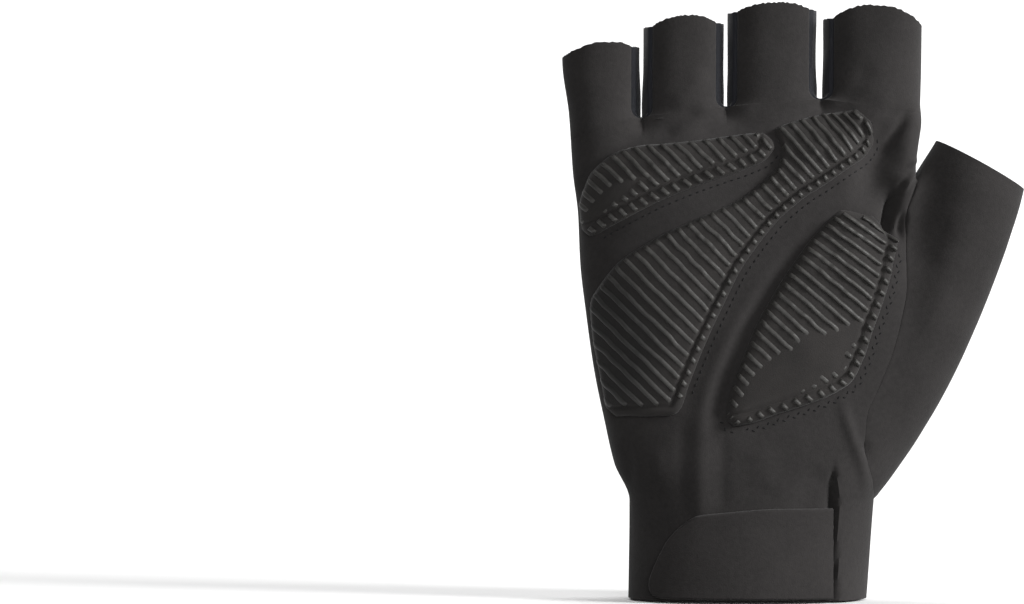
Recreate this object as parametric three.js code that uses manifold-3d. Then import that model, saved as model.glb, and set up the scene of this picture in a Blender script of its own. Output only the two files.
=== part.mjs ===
// A fingerless cycling glove for the right hand, held open as it is when worn.
// Frame: millimetres, +Z up along the fingers, +X towards the thumb, the palm faces -Y.
// The origin is the middle of the cuff's opening, on the cuff's edge.
// The whole skin of the glove is worked out as one net of four-sided fields. Each cloth panel
// takes its own fields out of that net, gets its wall on the inside, and keeps half a seam
// gap to its neighbours, so that the panels butt edge to edge as sewn cloth does.
import * as THREE from 'three';
import { mergeVertices } from 'three/addons/utils/BufferGeometryUtils.js';
import Module from 'manifold-3d';

// Heights above the cuff's edge.
const wristHeight = 27.5;
const thumbCrotchHeight = 119;
const palmLength = 137;
const pinkyTop = 156.8;
const ringTop = 164.7;
const middleTop = 168.4;
const indexTop = 167.8;

// Breadths and depths.
const cuffBreadth = 67.6;
const palmBreadth = 90.5;
const pinkyBreadth = 21.9;
const ringBreadth = 22.4;
const middleBreadth = 25;
const indexBreadth = 28.4;
const cuffDepth = 41;
const palmDepth = 33;
const fingerDepth = 20.5;

// The thumb: its open end's middle, breadth, depth and lean from upright.
const thumbTipAcross = 64.2;
const thumbTipHeight = 122.5;
const thumbTipForward = 5;
const thumbBreadth = 28.6;
const thumbDepth = 23;
const thumbLean = 29;

// Cloth, seams and clearances.
const wall = 1.2;
const seamGap = 0.3;
const padGap = 0.35;
const strapGap = 0.35;
const fingerGap = 1.4;
const fourchetteBulge = 2.1;
const palmWebBlend = 24;
const backWebBlend = 28;
const fingerCurl = 2.5;
const seamForward = -0.5;

// How full the rounded forms are, as powers: 2 is a circle's, more is fuller.
const cuffPower = 2.1;
const bodyPower = 2.6;
const fingerPower = 2.3;
const fingerEndPower = 2.5;
const padSidePower = 4;
const blendPower = 1.5;
const bulgePower = 0.7;

// Pads and their raised ribs.
const padHeight = 1.7;
const padRim = 0.5;
const padEndRise = 6;
const ribPitch = 3;
const ribHeight = 0.4;
const padSlant = 47;

// The closing strap and the slit below it.
const strapLength = 53.4;
const strapWidth = 24.9;
const strapThickness = 1.6;
const strapRight = 24.1;
const strapHem = 0.4;
const strapRound = 18;
const strapLowRound = 3;
const slitHeight = 38;
const slitWidth = 1.2;
const slitTaper = 5;

// How finely the net is divided.
const stripFields = 6;
const cuffFields = 3;
const thumbFields = 11;
const knuckleFields = 4;
const roundFields = 3;
const fingerFields = 3;
const fourchetteFields = 4;
const thumbLengthFields = 8;
const endCrowding = 0.07;
const padColumns = 6;
const strapColumns = 16;
const strapLevels = 4;

// Side outlines, seen from the palm: the height in zones (0 cuff edge, 1 wrist, 2 thumb crotch,
// 3 finger crotches, 4 middle finger's end), the breadth that the row follows, and how far
// the left and right outlines lie from the middle, as shares of that breadth.
const fingersBreadth = pinkyBreadth + ringBreadth + middleBreadth + indexBreadth + 3 * fingerGap;
const sideRows = [
    { zone: 0, breadth: cuffBreadth, left: 0.521, right: 0.479 },
    { zone: 1, breadth: cuffBreadth, left: 0.516, right: 0.509 },
    { zone: 1.116, breadth: palmBreadth, left: 0.433, right: 0.392 },
    { zone: 1.249, breadth: palmBreadth, left: 0.464, right: 0.42 },
    { zone: 1.41, breadth: palmBreadth, left: 0.497, right: 0.442 },
    { zone: 1.57, breadth: palmBreadth, left: 0.52, right: 0.453 },
    { zone: 1.739, breadth: palmBreadth, left: 0.54, right: 0.459 },
    { zone: 1.891, breadth: palmBreadth, left: 0.547, right: 0.472 },
    { zone: 2, breadth: palmBreadth, left: 0.561, right: 0.504 },
    { zone: 2.16, breadth: fingersBreadth, left: 0.501, right: 0.447 },
    { zone: 3, breadth: fingersBreadth, left: 0.511, right: 0.465 },
    { zone: 3.5, breadth: fingersBreadth, left: 0.53, right: 0.47 },
    { zone: 4, breadth: fingersBreadth, left: 0.53, right: 0.47 },
];

// Depths of the palm side and the back side from the side seams, as shares of a whole depth.
const depthRows = [
    { zone: 0, depth: cuffDepth, palm: 0.5, back: 0.5 },
    { zone: 1, depth: cuffDepth, palm: 0.48, back: 0.47 },
    { zone: 1.249, depth: palmDepth, palm: 0.58, back: 0.55 },
    { zone: 1.57, depth: palmDepth, palm: 0.56, back: 0.53 },
    { zone: 1.891, depth: palmDepth, palm: 0.5, back: 0.5 },
    { zone: 3, depth: palmDepth, palm: 0.4, back: 0.42 },
    { zone: 4, depth: palmDepth, palm: 0.32, back: 0.32 },
];

// The thumb's two seams, from the wrist up to the crotch: how far each lies to the right of
// the palm's side, and how much further the cloth before the seam would still reach, as
// shares of the palm's breadth. It keeps the palm flat up to the seam.
const thumbSeamRows = [
    { zone: 1, palm: 0, palmReach: 0, back: 0, backReach: 0 },
    { zone: 1.062, palm: -0.016, palmReach: 0.035, back: -0.016, backReach: 0.015 },
    { zone: 1.125, palm: -0.043, palmReach: 0.08, back: -0.03, backReach: 0.03 },
    { zone: 1.196, palm: -0.068, palmReach: 0.11, back: -0.032, backReach: 0.04 },
    { zone: 1.267, palm: -0.076, palmReach: 0.13, back: -0.024, backReach: 0.05 },
    { zone: 1.356, palm: -0.052, palmReach: 0.14, back: -0.018, backReach: 0.055 },
    { zone: 1.445, palm: -0.024, palmReach: 0.14, back: -0.012, backReach: 0.055 },
    { zone: 1.552, palm: 0, palmReach: 0.13, back: -0.004, backReach: 0.05 },
    { zone: 1.659, palm: 0.015, palmReach: 0.11, back: -0.002, backReach: 0.045 },
    { zone: 1.775, palm: 0.01, palmReach: 0.08, back: -0.006, backReach: 0.036 },
    { zone: 1.891, palm: 0.002, palmReach: 0.04, back: -0.008, backReach: 0.022 },
    { zone: 1.955, palm: 0.001, palmReach: 0.014, back: -0.003, backReach: 0.01 },
    { zone: 2, palm: 0, palmReach: 0, back: 0, backReach: 0 },
];

// The fingers from the little finger on: how far the end's two corners lie below its top, as
// shares of the breadth, and the finger's depth as a share of the fingers' depth.
const fingers = [
    { name: 'pinky', breadth: pinkyBreadth, top: pinkyTop, leftDrop: 0.17, rightDrop: 0.04, depth: 0.9 },
    { name: 'ring', breadth: ringBreadth, top: ringTop, leftDrop: 0.13, rightDrop: 0.09, depth: 0.97 },
    { name: 'middle', breadth: middleBreadth, top: middleTop, leftDrop: 0.1, rightDrop: 0.07, depth: 1.02 },
    { name: 'index', breadth: indexBreadth, top: indexTop, leftDrop: 0.12, rightDrop: 0.19, depth: 1.05 },
];

// The five lines where fingers part, from the little finger's outer side to the index
// finger's: the crotch's height on the palm side and on the back, as shares of the palm's length.
const crotches = [
    { palm: 0.95, back: 0.95 },
    { palm: 0.993, back: 0.901 },
    { palm: 1.014, back: 0.957 },
    { palm: 1.03, back: 0.972 },
    { palm: 1, back: 1 },
];

// Pads: rows from the lower left to the upper right end. Along is the way up the slanted
// middle line, and from and to are the ends of the rib there, all as shares of the palm's length.
const fingerPadRows = [
    { along: 0.316, from: -0.772, to: -0.757 },
    { along: 0.33, from: -0.785, to: -0.748 },
    { along: 0.352, from: -0.805, to: -0.741 },
    { along: 0.38, from: -0.822, to: -0.731 },
    { along: 0.415, from: -0.834, to: -0.719 },
    { along: 0.46, from: -0.832, to: -0.702 },
    { along: 0.51, from: -0.812, to: -0.68 },
    { along: 0.57, from: -0.761, to: -0.65 },
    { along: 0.63, from: -0.71, to: -0.618 },
    { along: 0.68, from: -0.671, to: -0.594 },
    { along: 0.703, from: -0.651, to: -0.596 },
    { along: 0.713, from: -0.64, to: -0.613 },
];
const heelPadRows = [
    { along: 0.083, from: -0.489, to: -0.463 },
    { along: 0.101, from: -0.508, to: -0.446 },
    { along: 0.131, from: -0.545, to: -0.413 },
    { along: 0.175, from: -0.602, to: -0.38 },
    { along: 0.234, from: -0.657, to: -0.403 },
    { along: 0.306, from: -0.668, to: -0.431 },
    { along: 0.394, from: -0.655, to: -0.46 },
    { along: 0.496, from: -0.617, to: -0.488 },
    { along: 0.598, from: -0.573, to: -0.497 },
    { along: 0.672, from: -0.557, to: -0.489 },
    { along: 0.71, from: -0.572, to: -0.479 },
    { along: 0.735, from: -0.616, to: -0.473 },
    { along: 0.775, from: -0.605, to: -0.465 },
    { along: 0.82, from: -0.578, to: -0.457 },
    { along: 0.855, from: -0.554, to: -0.463 },
    { along: 0.88, from: -0.534, to: -0.49 },
];
const thumbPadRows = [
    { along: 0.23, from: -0.294, to: -0.278 },
    { along: 0.24, from: -0.307, to: -0.27 },
    { along: 0.262, from: -0.321, to: -0.254 },
    { along: 0.306, from: -0.344, to: -0.231 },
    { along: 0.364, from: -0.367, to: -0.199 },
    { along: 0.422, from: -0.388, to: -0.173 },
    { along: 0.46, from: -0.397, to: -0.164 },
    { along: 0.511, from: -0.408, to: -0.177 },
    { along: 0.569, from: -0.417, to: -0.203 },
    { along: 0.628, from: -0.423, to: -0.228 },
    { along: 0.672, from: -0.422, to: -0.25 },
    { along: 0.7, from: -0.418, to: -0.268 },
    { along: 0.74, from: -0.36, to: -0.29 },
];

const cloth = {
    suede: new THREE.MeshStandardMaterial({ color: 0x34302f, roughness: 0.95, metalness: 0 }),
    jersey: new THREE.MeshStandardMaterial({ color: 0x141519, roughness: 0.8, metalness: 0 }),
    sidewall: new THREE.MeshStandardMaterial({ color: 0x17181f, roughness: 0.85, metalness: 0 }),
    pad: new THREE.MeshStandardMaterial({ color: 0x2b2827, roughness: 0.6, metalness: 0 }),
    strap: new THREE.MeshStandardMaterial({ color: 0x312d2c, roughness: 0.9, metalness: 0 }),
};

const radians = Math.PI / 180;
const mix = (a, b, share) => a + (b - a) * share;
const clamp = (value, low, high) => Math.min(high, Math.max(low, value));
const smooth = (share) => {
    const s = clamp(share, 0, 1);
    return s * s * (3 - 2 * s);
};

// The height of a zone number, straight from one named height to the next.
const zoneHeights = [0, wristHeight, thumbCrotchHeight, palmLength, middleTop];
function heightOf(zone) {
    const index = Math.min(Math.floor(zone), zoneHeights.length - 2);
    return mix(zoneHeights[index], zoneHeights[index + 1], zone - index);
}

// A smooth curve through (places, values) that never swings past its neighbours.
function curveThrough(places, values) {
    const count = places.length;
    const slopes = [];
    for (let i = 0; i < count - 1; i += 1) {
        slopes.push((values[i + 1] - values[i]) / (places[i + 1] - places[i]));
    }
    const tangents = [slopes[0]];
    for (let i = 1; i < count - 1; i += 1) {
        const product = slopes[i - 1] * slopes[i];
        tangents.push(product > 0 ? (2 * product) / (slopes[i - 1] + slopes[i]) : 0);
    }
    tangents.push(slopes[count - 2]);
    return (place) => {
        const p = clamp(place, places[0], places[count - 1]);
        let i = 0;
        while (i < count - 2 && p > places[i + 1]) {
            i += 1;
        }
        const step = places[i + 1] - places[i];
        const t = (p - places[i]) / step;
        const rise = values[i + 1] - values[i];
        const bend = t * (1 - t) * step;
        const start = tangents[i] * bend * (1 - t);
        const end = tangents[i + 1] * bend * t;
        return values[i] + rise * smooth(t) + start - end;
    };
}

const sideHeights = sideRows.map((row) => heightOf(row.zone));
const leftSide = curveThrough(sideHeights, sideRows.map((row) => -row.left * row.breadth));
const rightSide = curveThrough(sideHeights, sideRows.map((row) => row.right * row.breadth));
const depthHeights = depthRows.map((row) => heightOf(row.zone));
const seamHeights = thumbSeamRows.map((row) => heightOf(row.zone));

function thumbCurve(column) {
    return curveThrough(seamHeights, thumbSeamRows.map((row) => row[column] * palmBreadth));
}

// What differs between the palm side and the back side of the hand.
const sides = {
    palm: {
        sign: -1,
        webBlend: palmWebBlend,
        depth: curveThrough(depthHeights, depthRows.map((row) => row.palm * row.depth)),
        seam: thumbCurve('palm'),
        reach: thumbCurve('palmReach'),
    },
    back: {
        sign: 1,
        webBlend: backWebBlend,
        depth: curveThrough(depthHeights, depthRows.map((row) => row.back * row.depth)),
        seam: thumbCurve('back'),
        reach: thumbCurve('backReach'),
    },
};

// The lines between the fingers, at the fingers, and their shares of the hand's breadth.
const fingersLeft = leftSide(middleTop);
const partings = [fingersLeft];
for (const finger of fingers.slice(0, 3)) {
    const before = partings.length === 1 ? 0 : fingerGap / 2;
    partings.push(partings[partings.length - 1] + before + finger.breadth + fingerGap / 2);
}
const partingShares = partings.map((place) => {
    const left = leftSide(palmLength);
    return (place - left) / (rightSide(palmLength) - left);
});

// Where a parting line runs at a height: the outer sides, or a fixed share between them that
// becomes the line between two fingers at the crotch.
function partingAt(side, index, height) {
    if (index === 0) {
        return leftSide(height);
    }
    if (index === 4) {
        return rightSide(height) + sides[side].seam(height);
    }
    const h = Math.min(height, palmLength);
    return mix(leftSide(h), rightSide(h), partingShares[index]);
}

// Half-breadth of a finger's cloth before its side strip begins, as a share of the whole.
function panelShare(finger) {
    return 1 - (2 * fourchetteBulge) / finger.breadth;
}

function ellipseDepth(share, power) {
    return (1 - clamp(Math.abs(share), 0, 1) ** power) ** (1 / power);
}

// Depth of the hand's own section at a place, from the side seams.
function bodyForward(side, across, height) {
    const left = leftSide(height);
    const right = partingAt(side, 4, height) + sides[side].reach(height);
    const share = (2 * (across - left)) / (right - left) - 1;
    const power = mix(cuffPower, bodyPower, smooth(height / wristHeight - 0.5));
    return seamForward + sides[side].sign * sides[side].depth(height) * ellipseDepth(share, power);
}

// Depth of one finger's section between its two edges.
function fingerForward(side, index, across, height, left, right) {
    const finger = fingers[index];
    const leftShare = index === 0 ? 1 : panelShare(finger);
    const rightShare = index === 3 ? 1 : panelShare(finger);
    const half = (right - left) / (leftShare + rightShare);
    const share = (across - left) / half - leftShare;
    const curl = fingerCurl * clamp((height - palmLength) / (finger.top - palmLength), 0, 1) ** 2;
    const depth = (finger.depth * fingerDepth) / 2;
    return seamForward - curl + sides[side].sign * depth * ellipseDepth(share, fingerPower);
}

// Depth at a place below the crotches: the hand's section, which turns into the four fingers'
// sections on the way up to the crotches.
function clothForward(side, across, height) {
    let index = 0;
    while (index < 3 && across > partingAt(side, index + 1, height)) {
        index += 1;
    }
    const left = partingAt(side, index, height);
    const right = partingAt(side, index + 1, height);
    const share = clamp((across - left) / (right - left), 0, 1);
    const crotch = palmLength * mix(crotches[index][side], crotches[index + 1][side], share);
    const body = bodyForward(side, across, height);
    const finger = fingerForward(side, index, across, height, left, right);
    const nearness = clamp(1 - (crotch - height) / sides[side].webBlend, 0, 1);
    return mix(body, finger, smooth(nearness ** blendPower));
}

// The net's rows: shares of the way to the crotches, turns in the round of the U between two
// fingers, and rises along the fingers.
const rows = [];
function addRows(low, high, count, crowding) {
    for (let i = 0; i < count; i += 1) {
        const even = i / count;
        const share = even - crowding * Math.sin(2 * Math.PI * even);
        rows.push({ share: mix(low, high, share) / palmLength });
    }
}
addRows(0, wristHeight, cuffFields, 0);
addRows(wristHeight, thumbCrotchHeight, thumbFields, endCrowding);
addRows(thumbCrotchHeight, palmLength, knuckleFields, 0);
rows.push({ share: 1 });
for (let i = 1; i <= roundFields; i += 1) {
    rows.push({ turn: (i / roundFields) * 90 * radians });
}
for (let i = 1; i <= fingerFields; i += 1) {
    rows.push({ rise: i / fingerFields });
}
const crotchRow = cuffFields + thumbFields + knuckleFields;
const thumbLowRow = cuffFields;
const thumbHighRow = cuffFields + thumbFields;

// One end of a row within a finger's strip: across and height.
function stripEdge(side, index, end, row) {
    const parting = index + end;
    const crotch = crotches[parting][side] * palmLength;
    if (row.share !== undefined) {
        const height = row.share * crotch;
        return { across: partingAt(side, parting, height), height };
    }
    const finger = fingers[index];
    const radius = fourchetteBulge + fingerGap / 2;
    const inward = end === 0 ? 1 : -1;
    const drop = end === 0 ? finger.leftDrop : finger.rightDrop;
    const top = finger.top - drop * finger.breadth;
    const turn = row.turn === undefined ? Math.PI / 2 : row.turn;
    const height = mix(crotch + radius * (1 - Math.cos(turn)), top, row.rise || 0);
    if (parting === 0 || parting === 4) {
        return { across: partingAt(side, parting, height), height };
    }
    const line = partingAt(side, parting, palmLength);
    return { across: line + inward * radius * Math.sin(turn), height };
}

// A point of a finger's strip: i counts across it, j counts the rows.
function stripPoint(side, index, i, j) {
    const row = rows[j];
    const left = stripEdge(side, index, 0, row);
    const right = stripEdge(side, index, 1, row);
    const even = i / stripFields;
    let share = even;
    if (index === 0) {
        share = 1 - Math.cos((even * Math.PI) / 2);
    } else if (index === 3) {
        share = Math.sin((even * Math.PI) / 2);
    }
    const across = mix(left.across, right.across, share);
    let height = mix(left.height, right.height, share);
    if (row.share !== undefined) {
        return [across, clothForward(side, across, height), height];
    }
    const finger = fingers[index];
    const middle = finger.top - ((finger.leftDrop + finger.rightDrop) / 2) * finger.breadth;
    const end = 1 - Math.abs(2 * share - 1) ** fingerEndPower;
    height += (row.rise || 0) * (finger.top - middle) * end;
    return [across, fingerForward(side, index, across, height, left.across, right.across), height];
}

// The net: points by name, and fields with the panel that each belongs to.
const points = new Map();
const fields = [];

function stripName(side, index, i, j) {
    if (index === 0 && i === 0) {
        return `left ${j}`;
    }
    if (index === 3 && i === stripFields) {
        const split = j > thumbLowRow && j < thumbHighRow;
        return split ? `${side} thumb seam ${j}` : `right ${j}`;
    }
    if (i === stripFields && j <= crotchRow) {
        return `${side} ${index + 1} 0 ${j}`;
    }
    return `${side} ${index} ${i} ${j}`;
}

function addField(panel, a, b, c, d) {
    fields.push({ panel, corners: [a, b, c, d] });
}

for (const side of ['palm', 'back']) {
    for (let index = 0; index < fingers.length; index += 1) {
        for (let j = 0; j < rows.length; j += 1) {
            for (let i = 0; i <= stripFields; i += 1) {
                const name = stripName(side, index, i, j);
                if (!points.has(name)) {
                    points.set(name, stripPoint(side, index, i, j));
                }
            }
        }
        for (let j = 0; j < rows.length - 1; j += 1) {
            for (let i = 0; i < stripFields; i += 1) {
                const a = stripName(side, index, i, j);
                const b = stripName(side, index, i + 1, j);
                const c = stripName(side, index, i + 1, j + 1);
                const d = stripName(side, index, i, j + 1);
                if (side === 'palm') {
                    addField('palm_panel', a, b, c, d);
                } else {
                    addField('back_panel', d, c, b, a);
                }
            }
        }
    }
}

// The strip between two fingers: down one finger's side, round the web and up the next one's.
function addFourchette(parting) {
    const panel = `fourchette_${fingers[parting - 1].name}_${fingers[parting].name}`;
    const last = rows.length - 1;
    const way = [];
    for (let j = last; j > crotchRow; j -= 1) {
        way.push({ index: parting - 1, i: stripFields, j, lean: -1 });
    }
    way.push({ index: parting, i: 0, j: crotchRow, lean: 1 });
    for (let j = crotchRow + 1; j <= last; j += 1) {
        way.push({ index: parting, i: 0, j, lean: 1 });
    }
    const nameOf = (step, t) => {
        if (t === 0 || t === fourchetteFields) {
            return stripName(t === 0 ? 'palm' : 'back', step.index, step.i, step.j);
        }
        return `${panel} ${step.lean} ${step.j} ${t}`;
    };
    for (const step of way) {
        const row = rows[step.j];
        const turn = row.share !== undefined ? 0 : (row.turn || Math.PI / 2);
        const from = points.get(nameOf(step, 0));
        const to = points.get(nameOf(step, fourchetteFields));
        for (let t = 1; t < fourchetteFields; t += 1) {
            const share = t / fourchetteFields;
            const bulge = fourchetteBulge * Math.sin(Math.PI * share) ** bulgePower;
            points.set(nameOf(step, t), [
                mix(from[0], to[0], share) - step.lean * bulge * Math.sin(turn),
                mix(from[1], to[1], share),
                mix(from[2], to[2], share) + bulge * Math.cos(turn),
            ]);
        }
    }
    for (let s = 0; s < way.length - 1; s += 1) {
        for (let t = 0; t < fourchetteFields; t += 1) {
            const a = nameOf(way[s], t);
            const b = nameOf(way[s + 1], t);
            const c = nameOf(way[s + 1], t + 1);
            const d = nameOf(way[s], t + 1);
            addField(panel, a, b, c, d);
        }
    }
}
for (let parting = 1; parting <= 3; parting += 1) {
    addFourchette(parting);
}

// The thumb: a tube from the loop of its two seams to its open end. Each line of the tube is a
// cubic curve that leaves the seam along the palm, or from under the back's edge, and comes
// in along the thumb.
const thumbLoop = [];
for (let j = thumbHighRow; j >= thumbLowRow; j -= 1) {
    thumbLoop.push({ name: stripName('palm', 3, stripFields, j), back: false });
}
for (let j = thumbLowRow + 1; j < thumbHighRow; j += 1) {
    thumbLoop.push({ name: stripName('back', 3, stripFields, j), back: true });
}
const leaving = {
    crotch: new THREE.Vector3(0.5, 0, 0.865),
    palm: new THREE.Vector3(0.67, 0.2, 0.715),
    wrist: new THREE.Vector3(0.62, 0, 0.78),
    back: new THREE.Vector3(0.62, -0.4, 0.68),
};
const arriving = {
    inner: new THREE.Vector3(0.5, 0, 0.87),
    outer: new THREE.Vector3(0.27, 0, 0.96),
};
const thumbFullness = 1;

function thumbPoint(step, t) {
    const half = thumbFields;
    const turn = (step / half) * Math.PI;
    const seam = new THREE.Vector3(...points.get(thumbLoop[step].name));
    const lean = thumbLean * radians;
    const spread = (-thumbBreadth / 2) * Math.cos(turn);
    const end = new THREE.Vector3(
        thumbTipAcross + spread * Math.cos(lean),
        -thumbTipForward - (thumbDepth / 2) * Math.sin(turn),
        thumbTipHeight - spread * Math.sin(lean),
    );
    const towards = Math.sin(turn) >= 0 ? leaving.palm : leaving.back;
    const ends = Math.cos(turn) > 0 ? leaving.crotch : leaving.wrist;
    const start = ends.clone().lerp(towards, Math.abs(Math.sin(turn)) ** bulgePower).normalize();
    const finish = arriving.inner.clone().lerp(arriving.outer, (1 - Math.cos(turn)) / 2).normalize();
    const reach = seam.distanceTo(end);
    const s2 = t * t;
    const s3 = s2 * t;
    const point = seam.clone().multiplyScalar(2 * s3 - 3 * s2 + 1);
    point.addScaledVector(start, (s3 - 2 * s2 + t) * reach);
    point.addScaledVector(end, 3 * s2 - 2 * s3);
    point.addScaledVector(finish, (s3 - s2) * reach);
    point.y -= thumbFullness * Math.sin(turn) * Math.sin(Math.PI * t);
    return point.toArray();
}

function thumbName(step, k) {
    const wrapped = step % thumbLoop.length;
    return k === 0 ? thumbLoop[wrapped].name : `thumb ${wrapped} ${k}`;
}
for (let step = 0; step < thumbLoop.length; step += 1) {
    for (let k = 1; k <= thumbLengthFields; k += 1) {
        points.set(thumbName(step, k), thumbPoint(step, k / thumbLengthFields));
    }
}
for (let step = 0; step < thumbLoop.length; step += 1) {
    for (let k = 0; k < thumbLengthFields; k += 1) {
        const a = thumbName(step, k);
        const b = thumbName(step + 1, k);
        const c = thumbName(step + 1, k + 1);
        const d = thumbName(step, k + 1);
        addField('thumb_panel', a, b, c, d);
    }
}

// Every point's place on the inside: the wall's thickness behind each of the panels that meet
// there, found by least squares, which is a mitre at a seam. A sharp fold limits its length.
const vectors = new Map();
for (const [name, place] of points) {
    vectors.set(name, { place: new THREE.Vector3(...place), facing: new Map() });
}
for (const field of fields) {
    const corners = field.corners.map((name) => vectors.get(name).place);
    const one = corners[2].clone().sub(corners[0]);
    const two = corners[3].clone().sub(corners[1]);
    const normal = one.cross(two);
    for (const name of field.corners) {
        const facing = vectors.get(name).facing;
        const sum = facing.get(field.panel) || new THREE.Vector3();
        facing.set(field.panel, sum.add(normal));
    }
    field.normal = normal.clone().normalize();
}
const slack = 0.02;
const longestMitre = 2.2;
for (const vector of vectors.values()) {
    const directions = [...vector.facing.values()].map((sum) => sum.normalize());
    const total = new THREE.Vector3();
    const products = [slack, 0, 0, 0, slack, 0, 0, 0, slack];
    for (const direction of directions) {
        total.add(direction);
        const parts = direction.toArray();
        parts.forEach((a, i) => parts.forEach((b, j) => {
            products[3 * i + j] += a * b;
        }));
    }
    const inward = total.multiplyScalar(-wall);
    inward.applyMatrix3(new THREE.Matrix3().set(...products).invert());
    vector.inner = vector.place.clone().add(inward.clampLength(wall, longestMitre * wall));
}

// A closed shell from four-sided fields: the outer faces, the inner faces turned round, and a
// rim along each open edge, split the same way in both panels of a seam. Corners are names,
// and outer and inner give their places.
function shell(corners, outer, inner) {
    const index = new Map();
    const places = [];
    const triangles = [];
    const order = (name, layer) => {
        const key = `${layer} ${name}`;
        if (!index.has(key)) {
            index.set(key, places.length / 3);
            places.push(...(layer === 'outer' ? outer(name) : inner(name)).toArray());
        }
        return index.get(key);
    };
    const edges = new Set();
    for (const quad of corners) {
        const out = quad.map((name) => order(name, 'outer'));
        const back = quad.map((name) => order(name, 'inner'));
        triangles.push(out[0], out[1], out[2], out[0], out[2], out[3]);
        triangles.push(back[0], back[2], back[1], back[0], back[3], back[2]);
        quad.forEach((name, i) => edges.add(`${name}|${quad[(i + 1) % 4]}`));
    }
    for (const edge of edges) {
        const [a, b] = edge.split('|');
        if (!edges.has(`${b}|${a}`)) {
            const aOut = order(a, 'outer');
            const aIn = order(a, 'inner');
            const bOut = order(b, 'outer');
            const bIn = order(b, 'inner');
            const split = a < b ? [bOut, aOut, bIn, aOut, aIn, bIn] : [bOut, aOut, aIn, bOut, aIn, bIn];
            triangles.push(...split);
        }
    }
    const geometry = new THREE.BufferGeometry();
    geometry.setAttribute('position', new THREE.Float32BufferAttribute(places, 3));
    geometry.setIndex(triangles);
    return geometry;
}

// Which panels use each edge of the net, so that a seam is told from an open end.
const edgeUsers = new Map();
for (const field of fields) {
    field.corners.forEach((name, i) => {
        edgeUsers.set(`${name}|${field.corners[(i + 1) % 4]}`, field.panel);
    });
}

// How far each border point of a panel moves into the panel, so that half a seam gap is left
// along a seam and nothing along an open end. Two edges in line are taken as one.
const inLine = 0.97;
function seamShifts(panel) {
    const pulls = new Map();
    for (const field of fields.filter((one) => one.panel === panel)) {
        field.corners.forEach((a, i) => {
            const b = field.corners[(i + 1) % 4];
            const across = edgeUsers.get(`${b}|${a}`);
            if (across === panel) {
                return;
            }
            const along = vectors.get(b).place.clone().sub(vectors.get(a).place);
            const inward = field.normal.clone().cross(along).normalize();
            const amount = across === undefined ? 0 : seamGap / 2;
            for (const name of [a, b]) {
                const list = pulls.get(name) || [];
                list.push({ inward, amount });
                pulls.set(name, list);
            }
        });
    }
    const shifts = new Map();
    for (const [name, [one, two]] of pulls) {
        const facing = one.inward.dot(two.inward);
        const shift = new THREE.Vector3();
        if (facing > inLine) {
            shift.addScaledVector(one.inward, (one.amount + two.amount) / 2);
        } else {
            const scale = 1 / (1 - facing ** 2);
            shift.addScaledVector(one.inward, (one.amount - facing * two.amount) * scale);
            shift.addScaledVector(two.inward, (two.amount - facing * one.amount) * scale);
        }
        shifts.set(name, shift);
    }
    return shifts;
}

function panelShell(panel) {
    const shifts = seamShifts(panel);
    const still = new THREE.Vector3();
    const corners = fields.filter((one) => one.panel === panel).map((one) => one.corners);
    const outer = (name) => vectors.get(name).place.clone().add(shifts.get(name) || still);
    const inner = (name) => vectors.get(name).inner.clone().add(shifts.get(name) || still);
    return shell(corners, outer, inner);
}

// A place on the palm side, lifted off the cloth along its outward direction.
const step = 0.05;
function onPalm(across, height, lift) {
    const forward = clothForward('palm', across, height);
    const slopeAcross = (clothForward('palm', across + step, height) - forward) / step;
    const slopeUp = (clothForward('palm', across, height + step) - forward) / step;
    const outward = new THREE.Vector3(slopeAcross, -1, slopeUp).normalize();
    return new THREE.Vector3(across, forward, height).addScaledVector(outward, lift);
}

// A pad: a cushion between its two rails, with a raised rib at each pitch and thin rims.
function padShell(table) {
    const alongs = table.map((row) => row.along * palmLength);
    const from = curveThrough(alongs, table.map((row) => row.from * palmLength));
    const to = curveThrough(alongs, table.map((row) => row.to * palmLength));
    const start = alongs[0];
    const length = alongs[alongs.length - 1] - start;
    const ribs = Math.round(length / ribPitch);
    const slant = padSlant * radians;
    const place = (name, lifted) => {
        const [i, j] = name.split(' ').map(Number);
        const share = i / padColumns;
        const along = start + (length * j) / (2 * ribs);
        const rib = mix(from(along), to(along), share);
        const across = along * Math.cos(slant) + rib * Math.sin(slant);
        const height = along * Math.sin(slant) - rib * Math.cos(slant);
        const side = 1 - Math.abs(2 * share - 1) ** padSidePower;
        const end = Math.sqrt(clamp(Math.min(along - start, start + length - along) / padEndRise, 0, 1));
        const raised = j % 2 === 1 ? ribHeight : 0;
        const cushion = padRim + (padHeight - padRim + raised) * side * end;
        return onPalm(across, height, padGap + (lifted ? cushion : 0));
    };
    const corners = [];
    for (let j = 0; j < 2 * ribs; j += 1) {
        for (let i = 0; i < padColumns; i += 1) {
            corners.push([`${i} ${j}`, `${i + 1} ${j}`, `${i + 1} ${j + 1}`, `${i} ${j + 1}`]);
        }
    }
    return shell(corners, (name) => place(name, true), (name) => place(name, false));
}

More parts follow.
